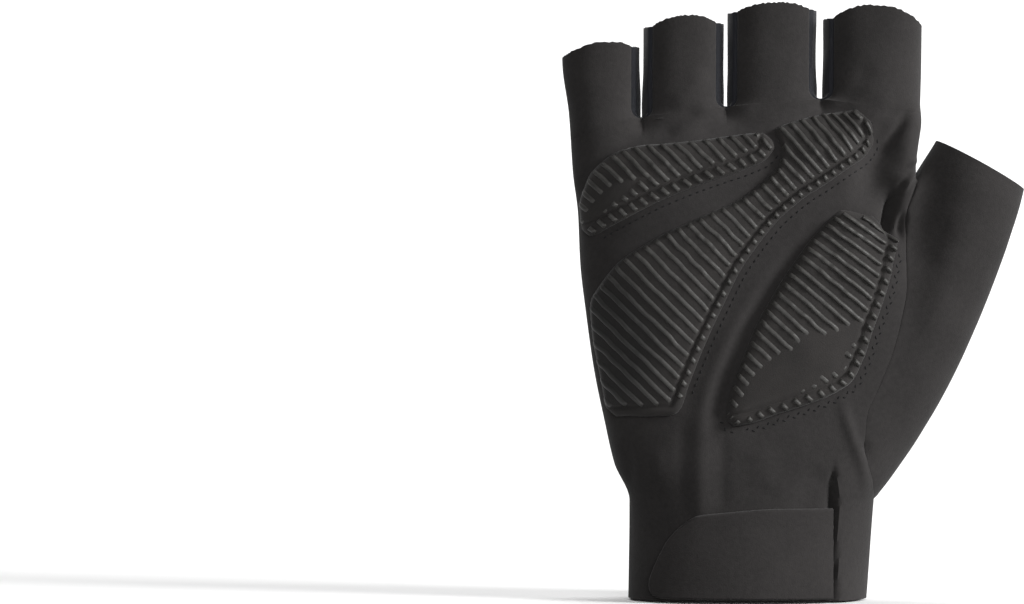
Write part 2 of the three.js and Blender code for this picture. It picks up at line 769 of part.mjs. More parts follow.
// The strap: a tab with one large round corner, from its seam on the right to its free end.
function strapShell() {
    const left = strapRight - strapLength;
    const place = (name, lifted) => {
        const [i, j] = name.split(' ').map(Number);
        const share = 1 - Math.cos(((i / strapColumns) * Math.PI) / 2);
        const across = mix(left, strapRight, share);
        const upper = clamp((left + strapRound - across) / strapRound, 0, 1);
        const lower = clamp((left + strapLowRound - across) / strapLowRound, 0, 1);
        const top = strapWidth + strapHem - strapRound * (1 - Math.sqrt(1 - upper ** 2));
        const bottom = strapHem + strapLowRound * (1 - Math.sqrt(1 - lower ** 2));
        const height = mix(bottom, top, j / strapLevels);
        return onPalm(across, height, strapGap + (lifted ? strapThickness : 0));
    };
    const corners = [];
    for (let j = 0; j < strapLevels; j += 1) {
        for (let i = 0; i < strapColumns; i += 1) {
            corners.push([`${i} ${j}`, `${i + 1} ${j}`, `${i + 1} ${j + 1}`, `${i} ${j + 1}`]);
        }
    }
    return shell(corners, (name) => place(name, true), (name) => place(name, false));
}

// The slit in the palm's cuff, cut out as an upright wedge that closes towards its top.
const wasm = await Module();
wasm.setup();

function toSolid(geometry) {
    const bare = geometry.clone();
    bare.deleteAttribute('normal');
    bare.deleteAttribute('uv');
    const merged = mergeVertices(bare, 1e-4);
    return new wasm.Manifold(new wasm.Mesh({
        numProp: 3,
        vertProperties: new Float32Array(merged.attributes.position.array),
        triVerts: new Uint32Array(merged.index.array),
    }));
}

function toGeometry(solid) {
    const mesh = solid.getMesh();
    const geometry = new THREE.BufferGeometry();
    geometry.setAttribute('position', new THREE.Float32BufferAttribute(mesh.vertProperties, 3));
    geometry.setIndex(Array.from(mesh.triVerts));
    return geometry;
}

function slitWedge() {
    const outline = new THREE.Shape();
    const below = -1;
    outline.moveTo(-slitWidth / 2, below);
    outline.lineTo(slitWidth / 2, below);
    outline.lineTo(slitWidth / 2, slitHeight - slitTaper);
    outline.lineTo(0, slitHeight);
    outline.lineTo(-slitWidth / 2, slitHeight - slitTaper);
    const wedge = new THREE.ExtrudeGeometry(outline, { depth: cuffDepth, bevelEnabled: false });
    wedge.rotateX(Math.PI / 2);
    wedge.translate(strapRight - slitWidth, 0, 0);
    return wedge;
}

const glove = new THREE.Group();
function addPiece(name, geometry, material) {
    const flat = geometry.toNonIndexed();
    flat.computeVertexNormals();
    const piece = new THREE.Mesh(flat, material);
    piece.name = name;
    glove.add(piece);
}

const wholePalm = toSolid(panelShell('palm_panel'));
addPiece('palm_panel', toGeometry(wholePalm.subtract(toSolid(slitWedge()))), cloth.suede);
addPiece('back_panel', panelShell('back_panel'), cloth.jersey);
addPiece('thumb_panel', panelShell('thumb_panel'), cloth.suede);
for (let parting = 1; parting <= 3; parting += 1) {
    const name = `fourchette_${fingers[parting - 1].name}_${fingers[parting].name}`;
    addPiece(name, panelShell(name), cloth.sidewall);
}
addPiece('finger_pad', padShell(fingerPadRows), cloth.pad);
addPiece('heel_pad', padShell(heelPadRows), cloth.pad);
addPiece('thumb_pad', padShell(thumbPadRows), cloth.pad);
addPiece('closing_strap', strapShell(), cloth.strap);

export default glove;
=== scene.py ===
"""The looks of a fingerless cycling glove for the right hand, filled as on a hand.

Lengths are in millimetres until a mesh is made. +Z runs up the fingers, +X to the thumb, and
the palm faces -Y. The glove's skin is one net of surfaces, from which each panel is cut.
"""
import math

import bpy
import numpy as np
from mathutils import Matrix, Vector


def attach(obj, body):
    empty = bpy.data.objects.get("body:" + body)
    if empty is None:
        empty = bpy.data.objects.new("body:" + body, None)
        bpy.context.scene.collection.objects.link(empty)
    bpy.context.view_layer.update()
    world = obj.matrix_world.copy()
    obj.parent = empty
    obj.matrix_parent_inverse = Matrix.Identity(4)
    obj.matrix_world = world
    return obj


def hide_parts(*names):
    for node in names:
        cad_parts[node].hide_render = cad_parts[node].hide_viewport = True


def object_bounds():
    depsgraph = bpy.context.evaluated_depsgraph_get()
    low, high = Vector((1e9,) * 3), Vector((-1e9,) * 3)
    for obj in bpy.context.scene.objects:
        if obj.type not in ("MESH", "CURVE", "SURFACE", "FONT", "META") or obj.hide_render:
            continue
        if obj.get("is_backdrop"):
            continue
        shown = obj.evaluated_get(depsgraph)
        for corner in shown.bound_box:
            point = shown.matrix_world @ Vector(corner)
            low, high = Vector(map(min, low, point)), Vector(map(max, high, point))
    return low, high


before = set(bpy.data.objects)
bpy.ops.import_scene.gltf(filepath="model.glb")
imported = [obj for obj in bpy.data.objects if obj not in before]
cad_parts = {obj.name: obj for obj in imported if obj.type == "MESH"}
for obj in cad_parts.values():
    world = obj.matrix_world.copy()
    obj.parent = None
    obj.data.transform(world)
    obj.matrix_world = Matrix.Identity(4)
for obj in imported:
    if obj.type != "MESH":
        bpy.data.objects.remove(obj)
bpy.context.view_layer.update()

# The view: a camera level with the middle of the glove, far enough off to show almost no
# perspective. It stands to the left of the glove, which fills the right half of the picture.
view_width = 290.8
camera_distance = 1200
camera_data = bpy.data.cameras.new("camera")
camera_data.lens = camera_data.sensor_width * camera_distance / view_width
camera = bpy.data.objects.new("camera", camera_data)
camera.location = (-0.0682, -camera_distance / 1000, 0.0838)
camera.rotation_euler = (math.radians(90), 0, 0)
bpy.context.scene.collection.objects.link(camera)
bpy.context.scene.camera = camera


# The palm side: soft synthetic suede, one cut from the cuff to the four finger ends. It is
# sewn edge to edge to the back, the thumb and the strips between the fingers.
wrist_height = 27.5
thumb_crotch_height = 119
palm_length = 137
middle_top = 168.4
cuff_breadth = 67.6
palm_breadth = 90.5
cuff_depth = 41
palm_depth = 33
finger_depth = 20.5
finger_curl = 2.5
web_bulge = 2.1
seam_forward = -0.5
cuff_power = 2.1
body_power = 2.6
finger_power = 2.3
finger_end_power = 2.5
blend_power = 1.5

# The fingers from the little finger on: breadth, top, and the drops of the end's two corners
# and the depth as shares.
finger_breadth = np.array([22, 22.8, 25.2, 28.2])
finger_gap = np.array([1, 1.1, 1.9])
finger_top = np.array([156.6, 164.3, 167.9, 167.1])
left_drop = np.array([0.17, 0.13, 0.1, 0.12])
right_drop = np.array([0.04, 0.09, 0.07, 0.19])
depth_share = np.array([0.9, 0.97, 1.02, 1.05])
fingers_breadth = 101.9

# Zones of the height: 0 cuff edge, 1 wrist, 2 thumb crotch, 3 finger crotches, 4 fingers' end.
zone_heights = np.array([0, wrist_height, thumb_crotch_height, palm_length, middle_top])

# Zone, breadth, and the left and right outlines as shares of that breadth.
side_rows = np.array([
    (0, cuff_breadth, 0.521, 0.479),
    (1, cuff_breadth, 0.516, 0.509),
    (1.116, palm_breadth, 0.433, 0.392),
    (1.249, palm_breadth, 0.464, 0.42),
    (1.41, palm_breadth, 0.497, 0.442),
    (1.57, palm_breadth, 0.52, 0.453),
    (1.739, palm_breadth, 0.54, 0.459),
    (1.891, palm_breadth, 0.547, 0.472),
    (2, palm_breadth, 0.561, 0.504),
    (2.16, fingers_breadth, 0.501, 0.447),
    (3, fingers_breadth, 0.511, 0.465),
    (3.5, fingers_breadth, 0.53, 0.47),
    (4, fingers_breadth, 0.53, 0.47),
])

# Zone, whole depth, and the shares of it before and behind the side seams.
depth_rows = np.array([
    (0, cuff_depth, 0.5, 0.5),
    (1, cuff_depth, 0.48, 0.47),
    (1.249, palm_depth, 0.58, 0.55),
    (1.57, palm_depth, 0.56, 0.53),
    (1.891, palm_depth, 0.5, 0.5),
    (3, palm_depth, 0.4, 0.42),
    (4, palm_depth, 0.32, 0.32),
])

# The thumb's seams: zone, then for the palm and for the back how far the seam lies right of
# the side and how far the cloth would reach beyond it, as shares of the palm's breadth.
thumb_seam_rows = np.array([
    (1, 0, 0, 0, 0),
    (1.062, -0.016, 0.035, -0.016, 0.015),
    (1.125, -0.043, 0.08, -0.03, 0.03),
    (1.196, -0.068, 0.11, -0.032, 0.04),
    (1.267, -0.076, 0.13, -0.024, 0.05),
    (1.356, -0.052, 0.14, -0.018, 0.055),
    (1.445, -0.024, 0.14, -0.012, 0.055),
    (1.552, 0, 0.13, -0.004, 0.05),
    (1.659, 0.015, 0.11, -0.002, 0.045),
    (1.775, 0.01, 0.08, -0.006, 0.036),
    (1.891, 0.002, 0.04, -0.008, 0.022),
    (1.955, 0.001, 0.014, -0.003, 0.01),
    (2, 0, 0, 0, 0),
])

# Heights of the five crotches as shares of the palm's length, from the little finger's outer
# side to the index finger's, on the palm and on the back.
crotches = {
    "palm": np.array([0.95, 0.993, 1.014, 1.03, 1]),
    "back": np.array([0.95, 0.901, 0.957, 0.972, 1]),
}


def height_of(zone):
    """The height of a zone: straight from one named height to the next."""
    return np.interp(zone, np.arange(5), zone_heights)


def smooth(share):
    """3 s^2 - 2 s^3, with s held between 0 and 1."""
    s = np.clip(share, 0, 1)
    return s * s * (3 - 2 * s)


def curve_through(places, values):
    """A cubic from point to point. Its slope at a point is the harmonic mean of the slopes
    beside it, or none at a turn, so that it never swings past its neighbours."""
    places, values = np.asarray(places, float), np.asarray(values, float)
    slopes = np.diff(values) / np.diff(places)
    product = slopes[:-1] * slopes[1:]
    total = np.where(product > 0, slopes[:-1] + slopes[1:], 1)
    tangents = np.concatenate((slopes[:1], np.where(product > 0, 2 * product / total, 0), slopes[-1:]))

    def curve(place):
        p = np.clip(place, places[0], places[-1])
        i = np.clip(np.searchsorted(places, p) - 1, 0, len(slopes) - 1)
        step = places[i + 1] - places[i]
        t = (p - places[i]) / step
        bend = t * (1 - t) * step
        rise = (values[i + 1] - values[i]) * smooth(t)
        return values[i] + rise + tangents[i] * bend * (1 - t) - tangents[i + 1] * bend * t

    return curve


side_heights = height_of(side_rows[:, 0])
left_side = curve_through(side_heights, -side_rows[:, 1] * side_rows[:, 2])
right_side = curve_through(side_heights, side_rows[:, 1] * side_rows[:, 3])
seam_heights = height_of(thumb_seam_rows[:, 0])
sign = {"palm": -1, "back": 1}
web_blend = {"palm": 17, "back": 28}
depth = {}
thumb_seam = {}
thumb_reach = {}
for number, side in enumerate(("palm", "back")):
    depth[side] = curve_through(height_of(depth_rows[:, 0]), depth_rows[:, 1] * depth_rows[:, 2 + number])
    thumb_seam[side] = curve_through(seam_heights, palm_breadth * thumb_seam_rows[:, 1 + 2 * number])
    thumb_reach[side] = curve_through(seam_heights, palm_breadth * thumb_seam_rows[:, 2 + 2 * number])

partings = left_side(middle_top) + np.concatenate((
    [0], np.cumsum(finger_breadth[:3] + finger_gap) - finger_gap / 2))
parting_shares = (partings - left_side(palm_length)) / (right_side(palm_length) - left_side(palm_length))


def parting_at(side, index, height):
    """Where a line between two fingers runs: a fixed share of the breadth below the crotches."""
    if index == 0:
        return left_side(height)
    if index == 4:
        return right_side(height) + thumb_seam[side](height)
    low = np.minimum(height, palm_length)
    return left_side(low) + (right_side(low) - left_side(low)) * parting_shares[index]


def ellipse(share, power):
    """(1 - |s|^p)^(1/p): the depth of a rounded section at a share of its half-breadth."""
    return (1 - np.clip(np.abs(share), 0, 1) ** power) ** (1 / power)


# Between the thumb and the index finger the palm's edge is pulled full: by how much, round
# which height, and how far up and down from there.
fullness, fullest_height, full_reach = 5, 122, 13


def fuller_edge(side, height):
    """What the section's power gains where the cloth is pulled full between thumb and index."""
    return fullness * np.exp(-((height - fullest_height) / full_reach) ** 2) * (side == "palm")


def finger_forward(side, index, across, height, left, right):
    """The section of a finger: an ellipse that its side strips close, and that curls forwards."""
    panel = 1 - 2 * web_bulge / finger_breadth[index]
    left_share = np.where(index == 0, 1, panel)
    right_share = np.where(index == 3, 1, panel)
    half = (right - left) / (left_share + right_share)
    share = (across - left) / half - left_share
    curl = finger_curl * np.clip((height - palm_length) / (finger_top[index] - palm_length), 0, 1) ** 2
    power = finger_power + fuller_edge(side, height) * ((index == 3) & (share > 0))
    return seam_forward - curl + sign[side] * depth_share[index] * finger_depth / 2 * ellipse(share, power)


def pick(stack, index):
    """The values, out of a stack of arrays, of the array that an index names at each place."""
    return np.take_along_axis(stack, index[None], 0)[0]


def soft_valleys(side, index, share, height, lines):
    """The fingers' sections run together: cosines from each finger's middle to the mean of the
    two edges at a parting, with no crease there. The outer halves keep their own section."""
    fingers = []
    for k in range(4):
        left, right = lines[k], lines[k + 1]
        across = np.stack((left, (left + right) / 2, right))
        fingers.append(finger_forward(side, k, across, height, left, right))
    fingers = np.stack(fingers)
    between = (fingers[:3, 2] + fingers[1:, 0]) / 2
    rims = np.concatenate((fingers[:1, 0], between, fingers[3:, 2]))
    rim = pick(rims, index + (share >= 0.5))
    own = rim + (pick(fingers[:, 1], index) - rim) * ((1 - np.cos(2 * np.pi * share)) / 2)
    left, right = pick(lines, index), pick(lines, index + 1)
    edge = finger_forward(side, index, left + (right - left) * share, height, left, right)
    outer = ((index == 0) & (share < 0.5)) | ((index == 3) & (share >= 0.5))
    return np.where(outer, edge, own)


# How far below the crotches the fingers' sections have run together.
valley_fade = 7


def cloth_forward(side, across, height):
    """The hand's section, which turns into the four fingers' sections towards the crotches."""
    across, height = np.broadcast_arrays(across, height)
    lines = np.stack([parting_at(side, k, height) for k in range(5)])
    index = (across > lines[1:4]).sum(axis=0)
    left, right = pick(lines, index), pick(lines, index + 1)
    share = np.clip((across - left) / (right - left), 0, 1)
    low, high = crotches[side][index], crotches[side][index + 1]
    crotch = palm_length * (low + (high - low) * share)
    reach = lines[4] + thumb_reach[side](height)
    body = 2 * (across - lines[0]) / (reach - lines[0]) - 1
    power = cuff_power + (body_power - cuff_power) * smooth((height - wrist_height / 2) / wrist_height)
    power = power + fuller_edge(side, height) * smooth(body * 3)
    body = seam_forward + sign[side] * depth[side](height) * ellipse(body, power)
    finger = finger_forward(side, index, across, height, left, right)
    soft = soft_valleys(side, index, share, height, lines)
    finger = finger + (soft - finger) * smooth((crotch - height) / valley_fade)
    nearness = smooth(np.clip(1 - (crotch - height) / web_blend[side], 0, 1) ** blend_power)
    return body + (finger - body) * nearness


def crowded(share, amount):
    """s - a sin(2 pi s) / (2 pi): even steps from 0 to 1 that are drawn together at both ends."""
    return share - amount * np.sin(2 * np.pi * share) / (2 * np.pi)


# The rows of the net: shares of the way to the crotches, then turns in the round of the U
# between two fingers, then rises along the fingers.
cuff_count, thumb_count, knuckle_count, round_count, rise_count = 34, 96, 36, 9, 38
row_crowding, rise_crowding = 0.14 * np.pi, 0.1
thumb_share = crowded(np.arange(thumb_count) / thumb_count, row_crowding)
row_share = np.concatenate((
    np.linspace(0, wrist_height, cuff_count, endpoint=False),
    wrist_height + (thumb_crotch_height - wrist_height) * thumb_share,
    np.linspace(thumb_crotch_height, palm_length, knuckle_count + 1),
)) / palm_length
crotch_row = cuff_count + thumb_count + knuckle_count
row_turn = np.linspace(0, np.pi / 2, round_count + 1)[1:]
rise = np.linspace(0, 1, rise_count + 1)[1:]
row_rise = rise + rise_crowding * np.sin(np.pi * rise) / np.pi


def strip_edge(side, index, end):
    """The left or right edge of a finger's strip, row by row: its places across and heights."""
    parting = index + end
    crotch = crotches[side][parting] * palm_length
    low = row_share * crotch
    turn = np.concatenate((row_turn, np.full(rise_count, np.pi / 2)))
    web_radius = web_bulge + finger_gap[min(max(parting, 1), 3) - 1] / 2
    drop = (right_drop if end else left_drop)[index]
    top = finger_top[index] - drop * finger_breadth[index]
    arch = crotch + web_radius * (1 - np.cos(turn))
    high = arch + (top - arch) * np.concatenate((np.zeros(round_count), row_rise))
    height = np.concatenate((low, high))
    if parting in (0, 4):
        return parting_at(side, parting, height), height
    line = parting_at(side, parting, palm_length)
    upper = line + (-1 if end else 1) * web_radius * np.sin(turn)
    return np.concatenate((parting_at(side, parting, low), upper)), height


column_count = 46
column_crowding = 0.45


def strip_grid(side, index):
    """A finger's strip of the palm or back as a grid, rows by columns: each row is drawn between
    the strip's two edges and laid on the hand's section, or on the finger's above the crotch."""
    left, left_height = strip_edge(side, index, 0)
    right, right_height = strip_edge(side, index, 1)
    share = crowded(np.arange(column_count + 1) / column_count, column_crowding)
    if index == 0:
        share = 1 - np.cos(share * np.pi / 2)
    elif index == 3:
        share = np.sin(share * np.pi / 2)
    across = left[:, None] + (right - left)[:, None] * share
    height = left_height[:, None] + (right_height - left_height)[:, None] * share
    middle = finger_top[index] - (left_drop + right_drop)[index] / 2 * finger_breadth[index]
    lift = np.concatenate((np.zeros(crotch_row + 1 + round_count), row_rise))
    arch = 1 - np.abs(2 * share - 1) ** finger_end_power
    height = height + lift[:, None] * (finger_top[index] - middle) * arch
    low = slice(0, crotch_row + 1)
    high = slice(crotch_row + 1, None)
    forward = np.concatenate((
        cloth_forward(side, across[low], height[low]),
        finger_forward(side, index, across[high], height[high], left[high, None], right[high, None]),
    ))
    return np.stack((across, forward, height), axis=-1)


def run_along(places, axis=0):
    """How far each point lies from the first one along a line, or along a grid's rows or columns."""
    steps = np.linalg.norm(np.diff(places, axis=axis), axis=-1)
    return np.cumsum(np.insert(steps, 0, 0, axis=axis), axis=axis)


def grid_quads(grid_rows, grid_columns, start, flip=False):
    """The four-sided faces of a grid whose points are numbered row by row from start."""
    number = start + np.arange(grid_rows * grid_columns).reshape(grid_rows, grid_columns)
    quads = np.stack((number[:-1, :-1], number[:-1, 1:], number[1:, 1:], number[1:, :-1]), axis=-1)
    quads = quads.reshape(-1, 4)
    return quads[:, ::-1] if flip else quads


# The whole net, grid after grid: points, how far along the cloth each one lies, faces, and the
# number of the panel that each face belongs to.
panel_names = [
    "palm_panel", "back_panel", "thumb_panel",
    "fourchette_pinky_ring", "fourchette_ring_middle", "fourchette_middle_index",
]
net_points, net_along, net_quads, net_panels = [], [], [], []


def add_grid(grid, along, panel, flip=False):
    """Adds a grid of points to the net."""
    start = sum(len(points) for points in net_points)
    quads = grid_quads(*grid.shape[:2], start, flip)
    net_points.append(grid.reshape(-1, 3))
    net_along.append(along.reshape(-1, 2))
    net_quads.append(quads)
    net_panels.append(np.full(len(quads), panel))


strips = {}
for side in ("palm", "back"):
    for index in range(4):
        strips[side, index] = strip_grid(side, index)
    whole = np.concatenate([strips[side, index] for index in range(4)], axis=1)
    around = run_along(whole, axis=1)
    around -= around.max(axis=1, keepdims=True) / 2
    for index in range(4):
        columns = slice(index * (column_count + 1), (index + 1) * (column_count + 1))
        along = np.stack((around[:, columns], strips[side, index][..., 2]), axis=-1)
        add_grid(strips[side, index], along, 0 if side == "palm" else 1, flip=side == "back")

# The strips between the fingers: down one finger's side, round the web and up the next
# finger's side. Across, each bulges away from the fingers by a sine's power. Below a height
# the two sides bulge further, so that the gap between them narrows.
web_columns = 18
bulge_power = 0.7
closed_height, closing_reach = 153, 9
closed_share = np.array([0.9, 0.25, 0.2])
for parting in (1, 2, 3):
    turn = np.concatenate(([0], row_turn, np.full(rise_count, np.pi / 2)))
    edges = {}
    for side in ("palm", "back"):
        down = strips[side, parting - 1][crotch_row + 1:, -1][::-1]
        up = strips[side, parting][crotch_row:, 0]
        edges[side] = np.concatenate((down, up))
    way_turn = np.concatenate((-turn[1:][::-1], turn))
    share = (np.arange(web_columns + 1) / web_columns)[None, :, None]
    height = np.maximum(edges["palm"][:, 2], edges["back"][:, 2])[:, None, None]
    closing = closed_share[parting - 1] * finger_gap[parting - 1] / 2
    closing = closing * smooth((closed_height - height) / closing_reach)
    bulge = (web_bulge + closing) * np.sin(np.pi * share) ** bulge_power
    away = np.stack((-np.sin(way_turn), np.zeros_like(way_turn), np.cos(way_turn)), axis=-1)[:, None]
    grid = edges["palm"][:, None] * (1 - share) + edges["back"][:, None] * share + bulge * away
    add_grid(grid, np.stack((grid[..., 1], run_along(grid)), axis=-1), 2 + parting, flip=True)

# The thumb: a tube from the loop of its two seams to its open end. Each line of it is a cubic
# curve that leaves the seam along the palm, or from under the back, and arrives along the thumb.
thumb_tip = np.array([64.2, -5, 122.5])
thumb_breadth = 28.6
thumb_depth = 23
thumb_lean = math.radians(29)
thumb_fullness = 1
thumb_length_count = 56
leaving_crotch = np.array([0.5, 0, 0.865])
leaving_palm = np.array([0.67, 0.2, 0.715])
leaving_wrist = np.array([0.62, 0, 0.78])
leaving_back = np.array([0.62, -0.4, 0.68])
arriving_inner = np.array([0.5, 0, 0.87])
arriving_outer = np.array([0.27, 0, 0.96])


def unit(vectors):
    """Each vector divided by its length."""
    return vectors / np.linalg.norm(vectors, axis=-1, keepdims=True)


low, high = cuff_count, cuff_count + thumb_count
seam_loop = np.concatenate((
    strips["palm", 3][low:high + 1, -1][::-1], strips["back", 3][low + 1:high + 1, -1]))
turn = np.linspace(0, 2 * np.pi, len(seam_loop))[:, None]
spread = -thumb_breadth / 2 * np.cos(turn)
tip_ring = thumb_tip + np.concatenate((
    spread * math.cos(thumb_lean), -thumb_depth / 2 * np.sin(turn), -spread * math.sin(thumb_lean)), axis=1)
towards = np.where(np.sin(turn) >= 0, leaving_palm, leaving_back)
ends = np.where(np.cos(turn) > 0, leaving_crotch, leaving_wrist)
start = unit(ends + (towards - ends) * np.abs(np.sin(turn)) ** bulge_power)
finish = unit(arriving_inner + (arriving_outer - arriving_inner) * (1 - np.cos(turn)) / 2)
reach = np.linalg.norm(tip_ring - seam_loop, axis=1, keepdims=True)
t = np.linspace(0, 1, thumb_length_count + 1)[:, None, None]
grid = (2 * t ** 3 - 3 * t ** 2 + 1) * seam_loop + (t ** 3 - 2 * t ** 2 + t) * start * reach
grid = grid + (3 * t ** 2 - 2 * t ** 3) * tip_ring + (t ** 3 - t ** 2) * finish * reach
grid[..., 1] -= thumb_fullness * np.sin(turn[:, 0]) * np.sin(np.pi * t[..., 0])
add_grid(grid, np.stack((run_along(grid, axis=1), grid[..., 2]), axis=-1), 2)

# Points that fall on one place become one.
points = np.concatenate(net_points)
along = np.concatenate(net_along)
quads = np.concatenate(net_quads)
panels = np.concatenate(net_panels)
rounded_points = np.round(points * 1e4).astype(np.int64)
_, first, same = np.unique(rounded_points, axis=0, return_index=True, return_inverse=True)
welded = points[first]
loop_along = along[quads]
quads = same.reshape(-1)[quads]


def point_normals(places, faces):
    """The mean direction of the faces round each point. A face's own direction is the cross
    product of its diagonals, as long as twice its area."""
    corners = places[faces]
    normals = np.cross(corners[:, 2] - corners[:, 0], corners[:, 3] - corners[:, 1])
    total = np.zeros_like(places)
    for corner in range(4):
        np.add.at(total, faces[:, corner], normals)
    return unit(total)


# Where the net has seams: edges whose two faces belong to different panels.
edges = np.sort(np.concatenate([quads[:, [k, (k + 1) % 4]] for k in range(4)]), axis=1)
owner = np.tile(panels, 4)
code = edges[:, 0] * len(welded) + edges[:, 1]
order = np.argsort(code, kind="stable")
code, owner, edges = code[order], owner[order], edges[order]
pair = np.flatnonzero(code[1:] == code[:-1])
seam = pair[owner[pair] != owner[pair + 1]]
lower, upper = np.minimum(owner[seam], owner[seam + 1]), np.maximum(owner[seam], owner[seam + 1])
thumb_side = (lower == 0) & (upper == 2)


def seam_line(chosen):
    """The end points and middles of the chosen seam edges."""
    return np.concatenate((welded[np.unique(edges[chosen])], welded[edges[chosen]].mean(axis=1)))


def distance_to(places, line, chunk=120):
    """The distance from each place to the nearest point of a line of points, from
    |a - b|^2 = |a|^2 + |b|^2 - 2 a.b."""
    nearest = np.full(len(places), np.inf)
    own = (places ** 2).sum(axis=1)
    for begin in range(0, len(line), chunk):
        part = line[begin:begin + chunk]
        squared = (own[:, None] + (part ** 2).sum(axis=1)) - 2 * places @ part.T
        nearest = np.minimum(nearest, squared.min(axis=1))
    return np.sqrt(np.maximum(nearest, 0))


def bent(path, count=28):
    """More points on a smooth curve through a short path of points across and up."""
    path = np.asarray(path, float)
    run = run_along(path)
    fine = np.linspace(0, run[-1], count)
    return np.stack((curve_through(run, path[:, 0])(fine), curve_through(run, path[:, 1])(fine)), axis=1)


def fold(x, z, path, reach, height, fade):
    """A fold along a path: height * exp(-(distance / reach)^2), which fades out over a share of
    the path at either end."""
    path = bent(path)
    ways = np.diff(path, axis=0)
    lengths = np.linalg.norm(ways, axis=1)
    run = run_along(path)
    nearest = np.full(x.shape, np.inf)
    place = np.zeros(x.shape)
    for start, way, length, begun in zip(path[:-1], ways, lengths, run):
        t = np.clip(((x - start[0]) * way[0] + (z - start[1]) * way[1]) / length ** 2, 0, 1)
        gap = np.hypot(x - start[0] - t * way[0], z - start[1] - t * way[1])
        place = np.where(gap < nearest, (begun + t * length) / run[-1], place)
        nearest = np.minimum(gap, nearest)
    ends = smooth(place / fade[0]) * smooth((1 - place) / fade[1])
    return height * np.exp(-(nearest / reach) ** 2) * ends


def cloud(u, v, size, seed):
    """Smooth random heights from -1 to 1: a square lattice of values, blended by 3s^2 - 2s^3."""
    table = np.random.default_rng(seed).uniform(-1, 1, (64, 64))
    i, j = np.floor(u / size).astype(int), np.floor(v / size).astype(int)
    s, t = smooth(u / size - i), smooth(v / size - j)
    low = table[i % 64, j % 64] * (1 - s) + table[(i + 1) % 64, j % 64] * s
    high = table[i % 64, (j + 1) % 64] * (1 - s) + table[(i + 1) % 64, (j + 1) % 64] * s
    return low * (1 - t) + high * t


# Folds of the palm side: path, half-width and height, and the shares over which the ends fade.
palm_folds = [
    (((-15.4, 18), (-15.6, 38), (-15, 52), (-11, 66), (-4.5, 79), (4, 91), (14, 102)), 2.8, 0.75, (0.1, 0.4)),
    (((-12.6, 47), (-10.4, 58), (-4.6, 73), (5, 89), (18, 107)), 2.1, -1, (0.15, 0.3)),
    (((-20.8, 24), (-20.4, 54)), 2, -0.3, (0.2, 0.3)),
    (((-9.6, 24), (-9.2, 50)), 2.2, -0.35, (0.2, 0.3)),
    (((23.6, 60), (25, 52), (27, 46), (29.2, 40), (31, 33), (31.8, 26)), 1.6, 0.9, (0.3, 0.4)),
    (((30.4, 46), (31.4, 42), (32, 39)), 1, -0.7, (0.4, 0.4)),
    (((12, 22), (16, 30), (20, 38)), 4, -0.8, (0.25, 0.3)),
    (((45.4, 141), (42, 135), (38, 129), (33.6, 122.6)), 1.5, -1.5, (0.45, 0.5)),
    (((46.4, 141), (44.6, 134), (43, 127), (41.6, 119)), 2.8, 1.2, (0.35, 0.35)),
    (((37.6, 136), (35, 128), (33.4, 119), (33.6, 106)), 5.5, -3.4, (0.3, 0.3)),
    (((39, 144), (34.5, 137), (29, 129)), 3.2, 0.6, (0.3, 0.3)),
    (((41.4, 119.5), (39.2, 114), (37.4, 107), (37, 99)), 3.4, -2.6, (0.3, 0.3)),
    (((41.2, 115.5), (39, 110.6), (37.8, 105.6), (37.4, 100.4)), 1.4, -4.4, (0.4, 0.35)),
    (((42.6, 110), (41.4, 105), (40.6, 100)), 1.1, -1.8, (0.4, 0.4)),
    (((45.4, 125), (43.2, 121), (41, 117)), 0.7, 0.9, (0.3, 0.3)),
    (((45, 121.5), (43.2, 117.5), (41.6, 113.6)), 0.7, 0.8, (0.3, 0.3)),
    (((44.4, 123.4), (42.4, 119.2), (40.6, 114.6)), 0.8, -0.9, (0.3, 0.3)),
    (((-50, 112), (-46.5, 120), (-41, 125.5), (-33, 128)), 1.6, -0.6, (0.2, 0.4)),
    (((-28, 130), (-21, 135), (-14, 139)), 2.2, -0.7, (0.3, 0.3)),
    (((-24, 138), (-18, 143), (-13, 150)), 2.6, 0.5, (0.3, 0.3)),
    (((-14, 131.5), (-6, 135), (2, 139)), 2.2, 0.5, (0.3, 0.3)),
    (((22, 136), (28, 143), (34, 152)), 2.8, -0.6, (0.3, 0.3)),
    (((18, 140), (20, 147), (24, 156)), 2.4, 0.4, (0.3, 0.3)),
    (((-35.2, 29), (-35, 38), (-36.5, 47)), 1.4, -0.5, (0.3, 0.3)),
    (((-27, 28), (-27.5, 44)), 3, 0.4, (0.3, 0.3)),
    (((2, 30), (3, 44)), 4, 0.4, (0.3, 0.3)),
    (((-44, 101), (-30, 109), (-14, 117), (0, 123)), 2, 0.5, (0.25, 0.25)),
    (((46, 92), (50, 101), (54, 110)), 5, -0.4, (0.3, 0.4)),
]


# The closure slit: its place across, how broad the step at it is, how deep and how broad the
# dip and the gap left of it are, and how high the flap right of it stands.
slit_across, step_breadth = 22.3, 1.1
dip_depth, dip_breadth = 2.7, 2.6
gap_depth, gap_breadth = 1.5, 0.9
flap_height = 0.75


def slit_step(x, z):
    """The cloth left of the slit dips towards it by an exponential, and the flap right of it
    stands proud with a steep edge. Both fade out above the strap, about 40 mm up."""
    slit = slit_across + 0.05 * np.sin(z / 3)
    right = smooth((x - slit) / step_breadth + 0.5)
    left = np.minimum(x - slit, 0)
    dip = -dip_depth * np.exp(left / dip_breadth) * (1 - right)
    dip = dip * smooth((41 - z) / 15) * smooth((z - 21) / 5)
    gap = -gap_depth * np.exp(-(left / gap_breadth) ** 2) * (1 - right) * smooth((38 - z) / 6)
    flap = flap_height * right * smooth((42 - z) / 12) * smooth((32 - x) / 9)
    return dip + gap + flap


